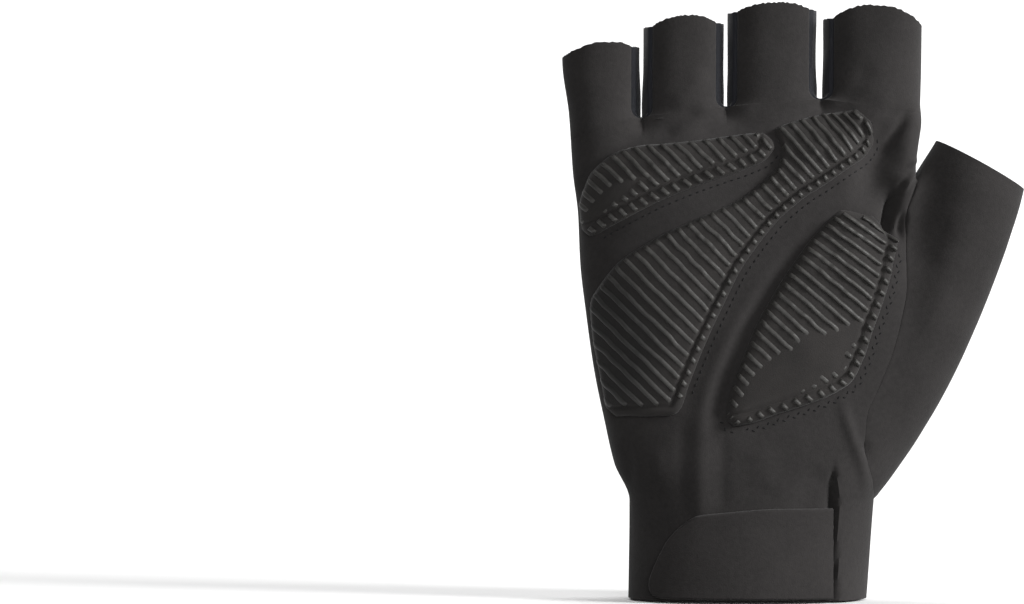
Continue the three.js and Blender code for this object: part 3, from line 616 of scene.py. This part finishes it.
def palm_relief(x, z):
    """All folds of the palm side and a slight unevenness, outwards from the even cloth."""
    total = 0.24 * cloud(x, z, 15, 3) + 0.09 * cloud(x, z, 6.5, 4)
    for path, reach, height, fade in palm_folds:
        total = total + fold(x, z, path, reach, height, fade)
    return total + slit_step(x, z)


# Folds of the back: faint pulls between the knuckles and along the thumb's edge.
back_folds = [
    (((21, 126), (20, 112), (16, 92)), 4.5, -0.5, (0.1, 0.5)),
    (((-5.5, 122), (-4, 108), (-2, 92)), 4.5, -0.45, (0.1, 0.5)),
    (((-31, 118), (-27, 104), (-22, 88)), 4.5, -0.5, (0.1, 0.5)),
    (((8, 130), (7, 112), (5, 94)), 5, 0.35, (0.2, 0.5)),
    (((33, 128), (31, 112), (27, 94)), 5, 0.35, (0.2, 0.5)),
    (((36.5, 40), (39, 58), (41, 76), (41.5, 96)), 2, 0.5, (0.3, 0.3)),
]

# Patches of fine wrinkles over the knuckles: middle across and up, half-breadth, half-height.
knuckle_wrinkles = [(27, 124, 15, 7), (9, 121, 8, 6), (33, 139, 8, 4)]
wrinkle_pitch = 2.3


def back_relief(x, z):
    """The back's folds, and fine level wrinkles over the knuckles: a sine of the height within
    an oval patch."""
    total = 0.13 * cloud(x, z, 19, 5) + 0.04 * cloud(x, z, 7, 6)
    for path, reach, height, fade in back_folds:
        total = total + fold(x, z, path, reach, height, fade)
    for middle, height, breadth, tall in knuckle_wrinkles:
        patch = np.exp(-((x - middle) / breadth) ** 2 - ((z - height) / tall) ** 2)
        wave = np.sin(2 * np.pi * (z + 0.6 * cloud(x, z, 7, 8)) / wrinkle_pitch)
        total = total + 0.09 * patch * wave * (0.4 + 0.6 * cloud(x, z, 3.4, 9) ** 2)
    return total


def rounded(share):
    """A quarter circle's rise: sqrt(1 - (1 - s)^2), with s held between 0 and 1."""
    return np.sqrt(1 - (1 - np.clip(share, 0, 1)) ** 2)


# How broad and how deep the cloth rolls in at a seam, how far from one the folds begin, how
# thick the cloth is, how far a sewn border draws back from its seam, and the raw ends' fraying.
seam_breadth, seam_depth = 1.2, 0.7
thumb_seam_breadth, thumb_seam_depth = 0.8, 0.12
fold_clearance = 4
wall = 1.05
seam_pull = 0.08
fraying = 0.22

even_normals = point_normals(welded, quads)
facing_palm = smooth(0.5 - even_normals[:, 1] * 1.6)
from_seam = distance_to(welded, seam_line(seam[~thumb_side]))
from_thumb_seam = distance_to(welded, seam_line(seam[thumb_side]))
relief = palm_relief(welded[:, 0], welded[:, 2]) * facing_palm
relief += back_relief(welded[:, 0], welded[:, 2]) * (1 - facing_palm)
relief *= smooth(from_seam / fold_clearance)
relief -= seam_depth * (1 - rounded(from_seam / seam_breadth))
relief -= thumb_seam_depth * (1 - rounded(from_thumb_seam / thumb_seam_breadth))
outer = welded + even_normals * relief[:, None]
outer_normals = point_normals(outer, quads)
on_seam = np.zeros(len(welded), bool)
on_seam[np.unique(edges[seam])] = True


def cut_panel(number):
    """One panel out of the net: its outer faces, the inner faces a wall's thickness behind them,
    and a rim along its border. A sewn border moves slightly into the panel, and the raw ends of
    the fingers are slightly uneven. Returns the points, the faces and each face corner's place
    along the cloth."""
    mine = panels == number
    used, local = np.unique(quads[mine], return_inverse=True)
    local = local.reshape(-1, 4)
    count = len(used)
    after = np.roll(local, -1, axis=1)
    rim = ~np.isin(local * count + after, after * count + local)
    low, high = local[rim], after[rim]
    skin = outer[used]
    into_face = skin[local].mean(axis=1)[np.nonzero(rim)[0]] - (skin[low] + skin[high]) / 2
    inward = np.zeros((count, 3))
    frayed = np.zeros(count, bool)
    for ends in (low, high):
        np.add.at(inward, ends, into_face)
        frayed[ends] = True
    length = np.linalg.norm(inward, axis=1, keepdims=True)
    shift = inward / np.maximum(length, 1e-9) * (seam_pull * on_seam[used])[:, None]
    front = skin + shift
    frayed &= ~on_seam[used] & (front[:, 2] > palm_length)
    front[frayed, 2] += np.random.default_rng(number).uniform(-fraying, fraying, frayed.sum())
    back = front - outer_normals[used] * wall
    border = np.stack((high, low, low + count, high + count), axis=1)
    faces = np.concatenate((local, local[:, ::-1] + count, border))
    own = loop_along[mine]
    place = np.zeros((count, 2))
    place[local.ravel()] = own.reshape(-1, 2)
    return np.concatenate((front, back)), faces, np.concatenate((own, own[:, ::-1], place[border % count]))


def make_piece(name, places, faces, spread=None, sharp=50):
    """A mesh object at the origin from points in millimetres and four-sided faces, shaded smooth
    but for edges sharper than an angle, with the place along the cloth as its map."""
    mesh = bpy.data.meshes.new(name)
    mesh.vertices.add(len(places))
    mesh.vertices.foreach_set("co", (places / 1000).astype(np.float32).ravel())
    mesh.loops.add(faces.size)
    mesh.loops.foreach_set("vertex_index", faces.astype(np.int32).ravel())
    mesh.polygons.add(len(faces))
    mesh.polygons.foreach_set("loop_start", np.arange(0, faces.size, 4, dtype=np.int32))
    if spread is not None:
        layer = mesh.uv_layers.new(name="cloth")
        layer.data.foreach_set("uv", (spread / 100).astype(np.float32).ravel())
    mesh.update(calc_edges=True)
    mesh.validate()
    mesh.shade_smooth()
    mesh.set_sharp_from_angle(angle=math.radians(sharp))
    piece = bpy.data.objects.new(name, mesh)
    bpy.context.scene.collection.objects.link(piece)
    return piece


class Tone:
    """A socket in a material. Python's operators on it add Math nodes; add() adds any node."""

    def __init__(self, tree, socket):
        self.tree, self.socket = tree, socket

    def add(self, kind, settings=None, inputs=None, output=0):
        """A node of a kind with its settings, and the values or links of its sockets."""
        node = self.tree.nodes.new(kind)
        for name, value in (settings or {}).items():
            if name == "stops":
                for stop, (place, colour) in zip(node.color_ramp.elements, value):
                    stop.position, stop.color = place, (*colour, 1)
            else:
                setattr(node, name, value)
        for name, value in (inputs or {}).items():
            if isinstance(value, Tone):
                self.tree.links.new(value.socket, node.inputs[name])
            else:
                node.inputs[name].default_value = value
        return Tone(self.tree, node.outputs[output])

    def maths(self, operation, *values):
        """One node of arithmetic on values or tones."""
        return self.add("ShaderNodeMath", {"operation": operation}, dict(enumerate(values)))

    def __add__(self, other):
        return self.maths("ADD", self, other)

    def __mul__(self, other):
        return self.maths("MULTIPLY", self, other)

    def __sub__(self, other):
        return self.maths("SUBTRACT", self, other)

    def __rsub__(self, other):
        return self.maths("SUBTRACT", other, self)

    __radd__, __rmul__ = __add__, __mul__

    def noise(self, size, detail=2, roughness=0.5):
        """Noise from 0 to 1 whose grain is of a size in millimetres, on places in metres."""
        settings = {"Scale": 1000 / size, "Detail": detail, "Roughness": roughness, "Vector": self}
        return self.add("ShaderNodeTexNoise", None, settings)

    def distance_from(self, *point):
        """How far these places are from a point, in metres."""
        return self.add("ShaderNodeVectorMath", {"operation": "DISTANCE"}, {0: self, 1: point}, output=1)

    def between(self, dark, light):
        """A colour from dark to light by this number."""
        inputs = {0: self, 6: (*dark, 1), 7: (*light, 1)}
        return self.add("ShaderNodeMix", {"data_type": "RGBA"}, inputs, output=2)


def new_finish(name, **constants):
    """A new material, with constants set on its shader's own sockets. Returns the material, its
    shader node, and the places on the piece as a Tone."""
    finish = bpy.data.materials.new(name)
    finish.use_nodes = True
    shader = finish.node_tree.nodes["Principled BSDF"]
    for socket, value in constants.items():
        shader.inputs[socket.replace("_", " ")].default_value = value
    places = Tone(finish.node_tree, None).add("ShaderNodeTexCoord", output=3)
    return finish, shader, places


def connect(shader, colour=None, roughness=None, height=None, bump=0.0001, strength=1):
    """Links tones to a shader: its colour, its roughness, and a bump of some metres' height."""
    tree = shader.id_data
    if colour is not None:
        tree.links.new(colour.socket, shader.inputs["Base Color"])
    if roughness is not None:
        tree.links.new(roughness.socket, shader.inputs["Roughness"])
    if height is not None:
        inputs = {"Height": height, "Distance": bump, "Strength": strength}
        relief = height.add("ShaderNodeBump", None, inputs)
        tree.links.new(relief.socket, shader.inputs["Normal"])


def suede_finish(name, dark, light):
    """Synthetic suede: a fine nap, brushed darker and lighter in soft patches."""
    finish, shader, places = new_finish(
        name, Sheen_Weight=0.08, Sheen_Roughness=0.5, Specular_IOR_Level=0.15)
    nap = places.noise(0.35, 3, 0.7)
    tufts = places.noise(1.3, 2)
    patches = places.noise(22, 3, 0.55)
    shade = patches * 0.5 + tufts * 0.3 + nap * 0.2
    colour = ((shade - 0.5) * 1.7 + 0.5).between(dark, light)
    connect(shader, colour, 0.86 + nap * 0.12, nap * 0.6 + tufts * 0.4, 0.00022, 0.6)
    return finish


palm = make_piece("palm_suede", *cut_panel(0))
suede = suede_finish("suede", (0.0175, 0.0163, 0.0161), (0.0415, 0.0385, 0.038))
palm.data.materials.append(suede)
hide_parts("palm_panel")
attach(palm, "root")

# The back: one cut of smooth stretch jersey from the cuff to the four finger ends, whose cut
# ends are left raw. It is finer, darker and cooler in colour than the suede.


def waves(number, spacing):
    """A sine of a number that counts in tenths of a metre, with a spacing in millimetres."""
    turns = number * (100 / spacing * 2 * math.pi)
    return turns.maths("SINE", turns)


def jersey_finish(name, dark, light, wale=0.42, course=0.36):
    """Fine warp knit: upright wales crossed by courses, a faint unevenness and a soft sheen.
    The pattern runs along the cloth's own map."""
    finish, shader, places = new_finish(
        name, Sheen_Weight=0.18, Sheen_Roughness=0.4, Specular_IOR_Level=0.3)
    cloth = places.add("ShaderNodeUVMap", {"uv_map": "cloth"})
    split = cloth.add("ShaderNodeSeparateXYZ", None, {0: cloth})
    wales = waves(split, wale)
    courses = waves(Tone(split.tree, split.socket.node.outputs[1]), course)
    knit = wales * 0.5 + courses * wales * 0.3 + 0.5
    fleck = places.noise(0.8, 3, 0.6)
    patches = places.noise(26, 3, 0.5)
    shade = patches * 0.65 + fleck * 0.35
    colour = ((shade - 0.5) * 1.6 + 0.5 + knit * 0.1).between(dark, light)
    connect(shader, colour, 0.68 + fleck * 0.16, knit * 0.7 + fleck * 0.6, 0.00012, 0.5)
    return finish


back = make_piece("back_jersey", *cut_panel(1))
jersey = jersey_finish("jersey", (0.0052, 0.0055, 0.0072), (0.0112, 0.0118, 0.0152))
back.data.materials.append(jersey)
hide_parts("back_panel")
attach(back, "root")

# The thumb: a tube of the same suede as the palm, sewn in along the palm and under the back's
# edge, and cut off below the thumb's knuckle.
thumb = make_piece("thumb_suede", *cut_panel(2))
thumb.data.materials.append(suede)
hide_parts("thumb_panel")
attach(thumb, "root")

# The strips between the fingers: thin stretch knit, sewn along both fingers' sides and round
# the web between them.
sidewall = jersey_finish("sidewall", (0.006, 0.0064, 0.0088), (0.0125, 0.0135, 0.0185), 0.6, 0.45)
for number in (3, 4, 5):
    strip = make_piece(panel_names[number].replace("fourchette", "web_strip"), *cut_panel(number))
    strip.data.materials.append(sidewall)
    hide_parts(panel_names[number])
    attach(strip, "root")

# The pads: gel cushions under a thin suede, bonded to the palm. Each has a rolled edge, a
# sewn groove inside the edge, and raised ribs of glossy silicone printed across it.

# A slanted line runs up each pad. The rows are the way up it and the pad's upper left and lower
# right rail, as shares of the palm's length.
pad_slant = math.radians(47)
pad_rows = {}
pad_rows["finger_pad"] = np.array([
    (0.316, -0.778, -0.757), (0.33, -0.795, -0.748), (0.352, -0.817, -0.741), (0.38, -0.834, -0.731),
    (0.415, -0.845, -0.719), (0.46, -0.841, -0.702), (0.51, -0.816, -0.68), (0.57, -0.763, -0.65),
    (0.63, -0.711, -0.618), (0.68, -0.671, -0.6), (0.703, -0.651, -0.602), (0.713, -0.64, -0.615),
])
pad_rows["heel_pad"] = np.array([
    (0.083, -0.493, -0.463), (0.101, -0.516, -0.446), (0.131, -0.556, -0.413), (0.175, -0.614, -0.38),
    (0.234, -0.668, -0.403), (0.306, -0.677, -0.431), (0.394, -0.658, -0.46), (0.496, -0.619, -0.488),
    (0.598, -0.58, -0.497), (0.672, -0.572, -0.489), (0.71, -0.59, -0.479), (0.735, -0.627, -0.473),
    (0.775, -0.609, -0.465), (0.82, -0.58, -0.457), (0.855, -0.554, -0.463), (0.88, -0.534, -0.49),
])
pad_rows["thumb_pad"] = np.array([
    (0.23, -0.294, -0.278), (0.24, -0.307, -0.27), (0.262, -0.321, -0.254), (0.306, -0.344, -0.231),
    (0.364, -0.367, -0.199), (0.422, -0.388, -0.173), (0.46, -0.397, -0.164), (0.511, -0.408, -0.177),
    (0.569, -0.417, -0.203), (0.628, -0.423, -0.228), (0.672, -0.422, -0.25), (0.7, -0.418, -0.268),
    (0.74, -0.36, -0.29),
])

# The ribs: the way up the pad, their pitch, how far they turn from the slanted line in degrees,
# and their height.
rib_rows = {
    "finger_pad": np.array([(43, 3.1, -1, 0.42), (70, 2.95, -1, 0.55), (98, 2.85, -2, 0.66)]),
    "heel_pad": np.array([
        (11, 3.05, -3, 0.38), (40, 3.2, -3, 0.34), (60, 3.25, -3, 0.42), (84, 3.1, -3, 0.58),
        (100, 2.8, -5, 0.72), (121, 2.45, -9, 0.72)]),
    "thumb_pad": np.array([
        (31, 3.1, -5, 0.36), (55, 3.15, -1, 0.45), (75, 3.1, 2, 0.66), (92, 2.85, 6, 0.8),
        (102, 2.7, 8, 0.8)]),
}

# The height above which short rib ends show outside the sewn groove.
lowest_beads = {"finger_pad": 0, "heel_pad": 57, "thumb_pad": 0}

# How far inside the lower right edge the sewn groove runs, how thick the gel is, and how wide
# the pad's flank is on its upper left.
groove_inset = {"finger_pad": 3.6, "heel_pad": 2.7, "thumb_pad": 3.2}
gel_height = {"finger_pad": 1.3, "heel_pad": 1.5, "thumb_pad": 2.2}
left_flank = {"finger_pad": 2.2, "heel_pad": 1.8, "thumb_pad": 4.5}
edge_breadth = 1.7
crown_height = 0.55
groove_depth, groove_breadth = 0.55, 0.5

# The smooth patch without ribs: the way up the pad, and the shares of the rib's length where
# the patch begins and ends.
bare_rows = {
    "finger_pad": np.array([
        (43, 0.3, 0.75), (52, 0.3, 0.7), (60, 0.4, 0.66), (66, 0.5, 0.64), (70, 0.6, 0.6), (98, 1, 1)]),
    "heel_pad": np.array([(11, 0.72, 0.86), (24, 0.86, 0.92), (34, 1, 1), (121, 1, 1)]),
    "thumb_pad": np.array([
        (31, 0.3, 0.75), (42, 0.2, 0.84), (52, 0.24, 0.86), (60, 0.32, 0.87), (66, 0.44, 0.87),
        (73, 0.66, 0.88), (80, 0.86, 0.9), (86, 1, 1), (102, 1, 1)]),
}


def even_palm(x, z):
    """Places on the palm's even cloth and the outward directions there, which stand square to
    its slopes over a small step."""
    step = 0.05
    forward = cloth_forward("palm", x, z)
    across = (cloth_forward("palm", x + step, z) - forward) / step
    up = (cloth_forward("palm", x, z + step) - forward) / step
    return np.stack((x, forward, z), axis=-1), unit(np.stack((across, -np.ones_like(across), up), axis=-1))


def on_palm(x, z, lift):
    """Places on the palm's folded cloth, lifted outwards."""
    place, outward = even_palm(x, z)
    return place + outward * (palm_relief(x, z) + lift)[..., None]


def slanted(along, rib):
    """Across and up from the way up the pad's slanted line and the way down a rib."""
    x = along * math.cos(pad_slant) + rib * math.sin(pad_slant)
    z = along * math.sin(pad_slant) - rib * math.cos(pad_slant)
    return x, z


def pad_rails(name):
    """The two rails of a pad, as curves of the way up it, and the way's first and last value."""
    rows = pad_rows[name] * palm_length
    start, end = (curve_through(rows[:, 0], rows[:, column]) for column in (1, 2))
    return start, end, rows[0, 0], rows[-1, 0]


rail_count, cap_count = 420, 24


def pad_outline(name):
    """Points all the way round a pad's outline, across and up, and those of its upper left and
    its lower right edge."""
    start, end, low, high = pad_rails(name)
    way = np.linspace(low, high, rail_count)
    cap = np.linspace(0, 1, cap_count)
    rails = [slanted(way, start(way)), slanted(way, end(way))]
    caps = [slanted(np.full(cap_count, y), start(y) + (end(y) - start(y)) * cap) for y in (low, high)]
    parts = [np.stack(part, axis=1) for part in rails + caps]
    return np.concatenate(parts), parts[0], parts[1]


def from_outline(x, z, outline):
    """The distance of each place to an outline, in the shape of the places."""
    return distance_to(np.stack((x.ravel(), z.ravel()), axis=1), outline).reshape(x.shape)


def pad_lift(name, x, z):
    """The pad's height: rounded edges, wider on the upper left, and a soft crown, less a sewn
    groove along the lower right edge. Below the cloth outside the pad. Also the distance from
    the outline and from the groove."""
    outline, upper_left, lower_right = pad_outline(name)
    distance = from_outline(x, z, outline)
    sewn = from_outline(x, z, lower_right) - groove_inset[name]
    flank = rounded(distance / edge_breadth) * rounded(from_outline(x, z, upper_left) / left_flank[name])
    groove = groove_depth * np.exp(-(sewn / groove_breadth) ** 2) * smooth(distance / 1.4)
    lift = 0.15 + gel_height[name] * flank + crown_height * smooth((distance - 1.5) / 9) - groove
    start, end, low, high = pad_rails(name)
    along = x * math.cos(pad_slant) + z * math.sin(pad_slant)
    rib = x * math.sin(pad_slant) - z * math.cos(pad_slant)
    inside = (rib > start(along)) & (rib < end(along)) & (along > low) & (along < high)
    return np.where(inside | (distance < 0.01), lift, -0.35), distance * inside, sewn


def make_shells(name, tops, bottoms):
    """One object of closed shells. Each has two equal grids as its top and its turned bottom,
    and a rim between them."""
    rows, columns = tops.shape[-3:-1]
    count = rows * columns
    top = grid_quads(rows, columns, 0)
    number = np.arange(count).reshape(rows, columns)
    loop = np.concatenate((number[0, :-1], number[:-1, -1], number[-1, :0:-1], number[:0:-1, 0]))
    after = np.roll(loop, -1)
    rim = np.stack((after, loop, loop + count, after + count), axis=1)
    one = np.concatenate((top, top[:, ::-1] + count, rim))
    places = np.concatenate((tops.reshape(-1, count, 3), bottoms.reshape(-1, count, 3)), axis=1)
    faces = one + 2 * count * np.arange(len(places))[:, None, None]
    return make_piece(name, places.reshape(-1, 3), faces.reshape(-1, 4))


# Painted shade: the pads' colour is darkest round this place on the heel pad's lower left, where the cushion
# turns away from the key light, and grows lighter away from it.
painted_shade_middle = (-0.048, -0.016, 0.072)
lightening_per_metre, first_lightening = 45, -0.7


def with_painted_shade(shade, places):
    """Painted shade: the lesser of a shade and a number that grows with the distance from the darkest place.
    """
    lightening = places.distance_from(*painted_shade_middle) * lightening_per_metre + first_lightening
    return shade.maths("MINIMUM", shade, lightening)


pad_suede, shader, places = new_finish(
    "pad_suede", Sheen_Weight=0.1, Sheen_Roughness=0.5, Specular_IOR_Level=0.25)
nap = places.noise(0.4, 3, 0.7)
patches = places.noise(9, 3, 0.55)
# The pad suede's colour holds painted shade, darkest on the heel pad's lower left.
shade = with_painted_shade((patches * 0.7 + nap * 0.3 - 0.5) * 1.6 + 0.5, places)
colour = shade.between((0.0085, 0.0077, 0.0074), (0.0305, 0.0272, 0.0258))
connect(shader, colour, 0.72 + nap * 0.14, nap, 0.00018, 0.5)

silicone, shader, places = new_finish("silicone", Specular_IOR_Level=0.35)
smear = places.noise(2.2, 3, 0.6)
# The silicone's colour holds painted shade, darkest on the heel pad's lower left.
colour = with_painted_shade(smear, places).between((0.012, 0.0116, 0.011), (0.06, 0.0577, 0.0537))
connect(shader, colour, 0.42 + smear * 0.2, smear, 0.00012, 0.5)


def listed(rows, way, column):
    """A table's column at a way up the pad: straight from one row to the next."""
    return np.interp(way, rows[:, 0], rows[:, column])


# The nets of a cushion and of a rib, how far a rib stops short of the rails, how far it sways,
# and its half-breadths.
cushion_step, cushion_columns = 0.42, 48
rib_stations, rib_profile = 84, 9
rib_inset, rib_sway = 0.2, 0.2
rib_lower_half, rib_upper_half = 0.55, 0.75
edge_crowding = 0.6
for name in pad_rows:
    start, end, low, high = pad_rails(name)
    way = np.linspace(low + 0.001, high - 0.001, int((high - low) / cushion_step))[:, None]
    share = crowded(np.linspace(0, 1, cushion_columns)[None], edge_crowding)
    x, z = slanted(way, start(way) + (end(way) - start(way)) * (0.0005 + 0.999 * share))
    top = on_palm(x, z, np.maximum(pad_lift(name, x, z)[0], 0.1))
    pad = make_shells(name + "_cushion", top, on_palm(x, z, 0.02))
    pad.data.materials.append(pad_suede)
    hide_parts(name)
    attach(pad, "root")

    # Each rib is a half-round strip across the pad: a profile carried down the rib's line. The
    # ribs stand their pitch apart on the slanted line.
    rows = rib_rows[name]
    fine = np.linspace(low + 1, high - 1, 400)
    counted = np.insert(np.cumsum(np.diff(fine) / listed(rows, fine[1:], 1)), 0, 0)
    count = int(counted[-1]) + 1
    middles = np.interp(np.arange(count) + (counted[-1] - count + 1) / 2, counted, fine)
    lean = np.tan(np.radians(listed(rows, middles, 2)))[:, None]
    share = crowded(np.linspace(0, 1, rib_stations), edge_crowding)
    first, last = start(middles)[:, None] + rib_inset, end(middles)[:, None] - rib_inset
    rib = first + (last - first) * share
    number = np.arange(count)[:, None] * 7.3 + 0 * rib
    way = middles[:, None] + lean * (rib - (first + last) / 2) + rib_sway * cloud(rib, number, 3.1, 12)
    across, up = slanted(way, rib)

    # A rib's height: none at the pad's edge, at the groove and in the smooth patch, and uneven.
    _, distance, sewn = pad_lift(name, across, up)
    height = smooth((distance - 0.3) / 0.5) * (1 - np.exp(-(sewn / 0.62) ** 4))
    uneven = 0.85 + 0.3 * cloud(rib, number, 1.5, 13) + 0.3 * cloud(across, up, 6, 16)
    height = height * (uneven + 0.45 * (sewn < 0))
    from_left = (rib - first) / (last - first)
    begins, stops = listed(bare_rows[name], way, 1), listed(bare_rows[name], way, 2)
    ragged = 0.06 * cloud(number, number, 0.9, 14)
    patch = smooth((from_left - begins - ragged) / 0.1) * smooth((stops - from_left - ragged) / 0.06)
    shown = (sewn > 0) | (up > lowest_beads[name])
    height = (height * (1 - patch) * listed(rows, middles, 3)[:, None] * shown)[..., None]
    turn = np.linspace(np.pi / 2, -np.pi / 2, rib_profile)
    side = np.sin(turn) * np.where(turn < 0, rib_lower_half, rib_upper_half)
    x, z = slanted(way[..., None] + side, rib[..., None] + 0 * turn)
    cushion = pad_lift(name, x, z)[0]
    top = on_palm(x, z, cushion - 0.1 + (height + 0.1 * (height > 0.04)) * np.cos(turn))
    ribs = make_shells(name + "_ribs", top, on_palm(x, z, cushion - 0.2))
    ribs.data.materials.append(silicone)
    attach(ribs, "root")

# The closing strap: a stiff double tab of suede across the front of the cuff. It is sewn down
# at its right end, beside the slit, and its free end is rounded.
strap_left, strap_right = -29.3, 21.5
strap_length = strap_right - strap_left
strap_low, strap_high = 0.45, 26.1
strap_top = curve_through(
    (strap_left, -28.9, -28.2, -26.7, -24.4, -20.4, -15.9, -9.1, 5.7, strap_right),
    (4.4, 6.4, 8.6, 12.2, 16.9, 21.4, 24.1, 24.9, 26, strap_high))
strap_bottom = curve_through(
    (strap_left, -28.9, -28.2, -26.5, -24, strap_right), (4.3, 2.6, 1.4, 0.7, 0.5, strap_low))
strap_columns, strap_levels = 150, 60
share = crowded(1 - np.cos(np.linspace(0, 1, strap_columns) * np.pi / 2), 0.024 * np.pi)
x = (strap_left + strap_length * share)[None] + np.zeros((strap_levels, 1))
rows = crowded(np.linspace(0, 1, strap_levels), edge_crowding)[:, None]
z = strap_bottom(x) + (strap_top(x) - strap_bottom(x)) * rows

# The tab's outline, and its height over the even cloth: a thickness with rounded edges.
outline_count = 500
edge_x = strap_left + strap_length * (1 - np.cos(np.linspace(0, 1, outline_count) * np.pi / 2))
end_x, end_z = np.full(outline_count, strap_right), np.linspace(strap_low, strap_high, outline_count)
strap_outline = np.stack((
    np.concatenate((edge_x, edge_x, end_x)),
    np.concatenate((strap_top(edge_x), strap_bottom(edge_x), end_z)),
), axis=1)
strap_underside, strap_edge, strap_thickness, strap_rounding = 0.35, 0.45, 1.25, 0.7
distance = from_outline(x, z, strap_outline)
lift = strap_edge + strap_thickness * rounded(distance / strap_rounding)
lift = lift + 0.1 * cloud(x, z, 9, 21) * smooth(distance / 4)
base, outward = even_palm(x, z)
strap = make_shells("closing_tab", base + outward * lift[..., None], base + outward * strap_underside)
strap_suede = suede_finish("strap_suede", (0.0195, 0.018, 0.0178), (0.0425, 0.0392, 0.0388))
strap.data.materials.append(strap_suede)
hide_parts("closing_strap")
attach(strap, "root")

# The stitches: black thread, machine sewn. Lines of it run beside the pads' lower edges, where
# the cover is sewn to the palm.
thread, shader, places = new_finish("thread", Specular_IOR_Level=0.2, Roughness=0.75)
shader.inputs["Base Color"].default_value = (0.009, 0.0088, 0.009, 1)
stitch_length, stitch_breadth, stitch_height = 1.15, 0.27, 0.32
stitch_ground, stitch_underside = -0.12, -0.25
stitch_stations, stitch_profile = 7, 5


def sewn_line(path, pitch, sway=0.0):
    """Evenly spaced stitches on a path of points across and up: their middles and directions.
    With a sway they stand by turns left and right of it."""
    run = run_along(path)
    count = max(2, int(run[-1] / pitch))
    at = (np.arange(count) + 0.5) * run[-1] / count
    middle, ahead, behind = (
        np.stack([np.interp(at + off, run, path[:, axis]) for axis in (0, 1)], axis=1)
        for off in (0, 0.4, -0.4))
    way = unit(ahead - behind)
    beside = np.stack((-way[:, 1], way[:, 0]), axis=1)
    turn = np.where(np.arange(count) % 2 == 0, 1, -1)[:, None] * sway
    return middle + beside * turn, unit(way + beside * turn * 1.5)


def sew(name, *lines):
    """One object of small half-round stitches: each is a short strip with a rounded back, lowest
    at its ends, sunk slightly into the cloth."""
    middle, way = (np.concatenate(part)[:, :, None, None] for part in zip(*lines))
    share = np.linspace(-1, 1, stitch_stations)[:, None]
    turn = np.linspace(np.pi / 2, -np.pi / 2, stitch_profile)
    full = np.sqrt(1 - 0.9 * share ** 2)
    along = share * stitch_length / 2 + 0 * turn
    aside = np.sin(turn) * stitch_breadth * full
    x = middle[:, 0] + way[:, 0] * along - way[:, 1] * aside
    z = middle[:, 1] + way[:, 1] * along + way[:, 0] * aside
    top = on_palm(x, z, stitch_ground + stitch_height * full * np.cos(turn))
    stitches = make_shells(name, top, on_palm(x, z, stitch_underside))
    stitches.data.materials.append(thread)
    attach(stitches, "root")


def beside_pad(name, offset, first, last):
    """A path beside a pad's lower right rail, for a stretch of the way up it."""
    _, end, low, high = pad_rails(name)
    way = np.linspace(low + (high - low) * first, low + (high - low) * last, 200)
    return np.stack(slanted(way, end(way) + offset), axis=1)


def below_pad(name, drop):
    """A path along a pad's lower end, just off it."""
    start, end, low, _ = pad_rails(name)
    rib = np.linspace(start(low) - drop, end(low) + drop, 60)
    return np.stack(slanted(np.full(60, low - drop), rib), axis=1)


sew("heel_stitches", sewn_line(beside_pad("heel_pad", 1.9, 0.17, 0.99), 2))
sew("thumb_pad_stitches",
    sewn_line(beside_pad("thumb_pad", 2.2, 0.02, 0.97), 1.5, 0.4),
    sewn_line(below_pad("thumb_pad", 1.8), 1.5, 0.4))
sew("finger_pad_stitches", sewn_line(beside_pad("finger_pad", 1.9, 0.03, 0.97), 2))

# The studio: a pale floor that curves up into the backdrop, a key light from the upper right,
# a weak broad light from the front, and a wash on the backdrop. The floor sends no light back
# on to the glove, as in the photo.
floor_profile = np.array([
    (-3, 0), (0.9, 0), (1.25, 0.03), (1.5, 0.12), (1.66, 0.3), (1.72, 0.6), (1.72, 3.2)])
floor_drop = 0.0006
floor_profile[:, 1] -= floor_drop
grid = np.empty((len(floor_profile), 9, 3))
grid[..., 0] = np.linspace(-4, 4, 9)
grid[..., 1:] = floor_profile[:, None]
sweep = make_piece("studio_sweep", grid.reshape(-1, 3) * 1000, grid_quads(*grid.shape[:2], 0), sharp=80)
pale, shader, places = new_finish("pale_paper", Roughness=0.9, Specular_IOR_Level=0.1)
shader.inputs["Base Color"].default_value = (0.93, 0.93, 0.93, 1)
sweep.data.materials.append(pale)
sweep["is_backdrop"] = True
sweep.visible_diffuse = False


def soft_light(name, place, aim, breadth, tall, power):
    """A rectangular area light at a place in metres, turned to face its aim."""
    data = bpy.data.lights.new(name, "AREA")
    data.shape, data.size, data.size_y, data.energy = "RECTANGLE", breadth, tall, power
    light = bpy.data.objects.new(name, data)
    light.location = place
    light.rotation_euler = (Vector(aim) - Vector(place)).to_track_quat("-Z", "Y").to_euler()
    bpy.context.scene.collection.objects.link(light)


soft_light("key_light", (1.65, -0.7, 0.75), (0, 0, 0.09), 0.55, 0.55, 52)
soft_light("front_light", (0.1, -1.55, 0.45), (0, 0, 0.09), 1.2, 1.2, 12.5)
soft_light("backdrop_light", (0, 0.5, 2.2), (0, 1.7, 0.3), 3, 0.6, 60)
world = bpy.data.worlds.new("studio")
world.use_nodes = True
world.node_tree.nodes["Background"].inputs["Color"].default_value = (1, 1, 1, 1)
world.node_tree.nodes["Background"].inputs["Strength"].default_value = 0.11
bpy.context.scene.world = world
bpy.context.scene.view_settings.view_transform = "Standard"

low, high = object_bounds()
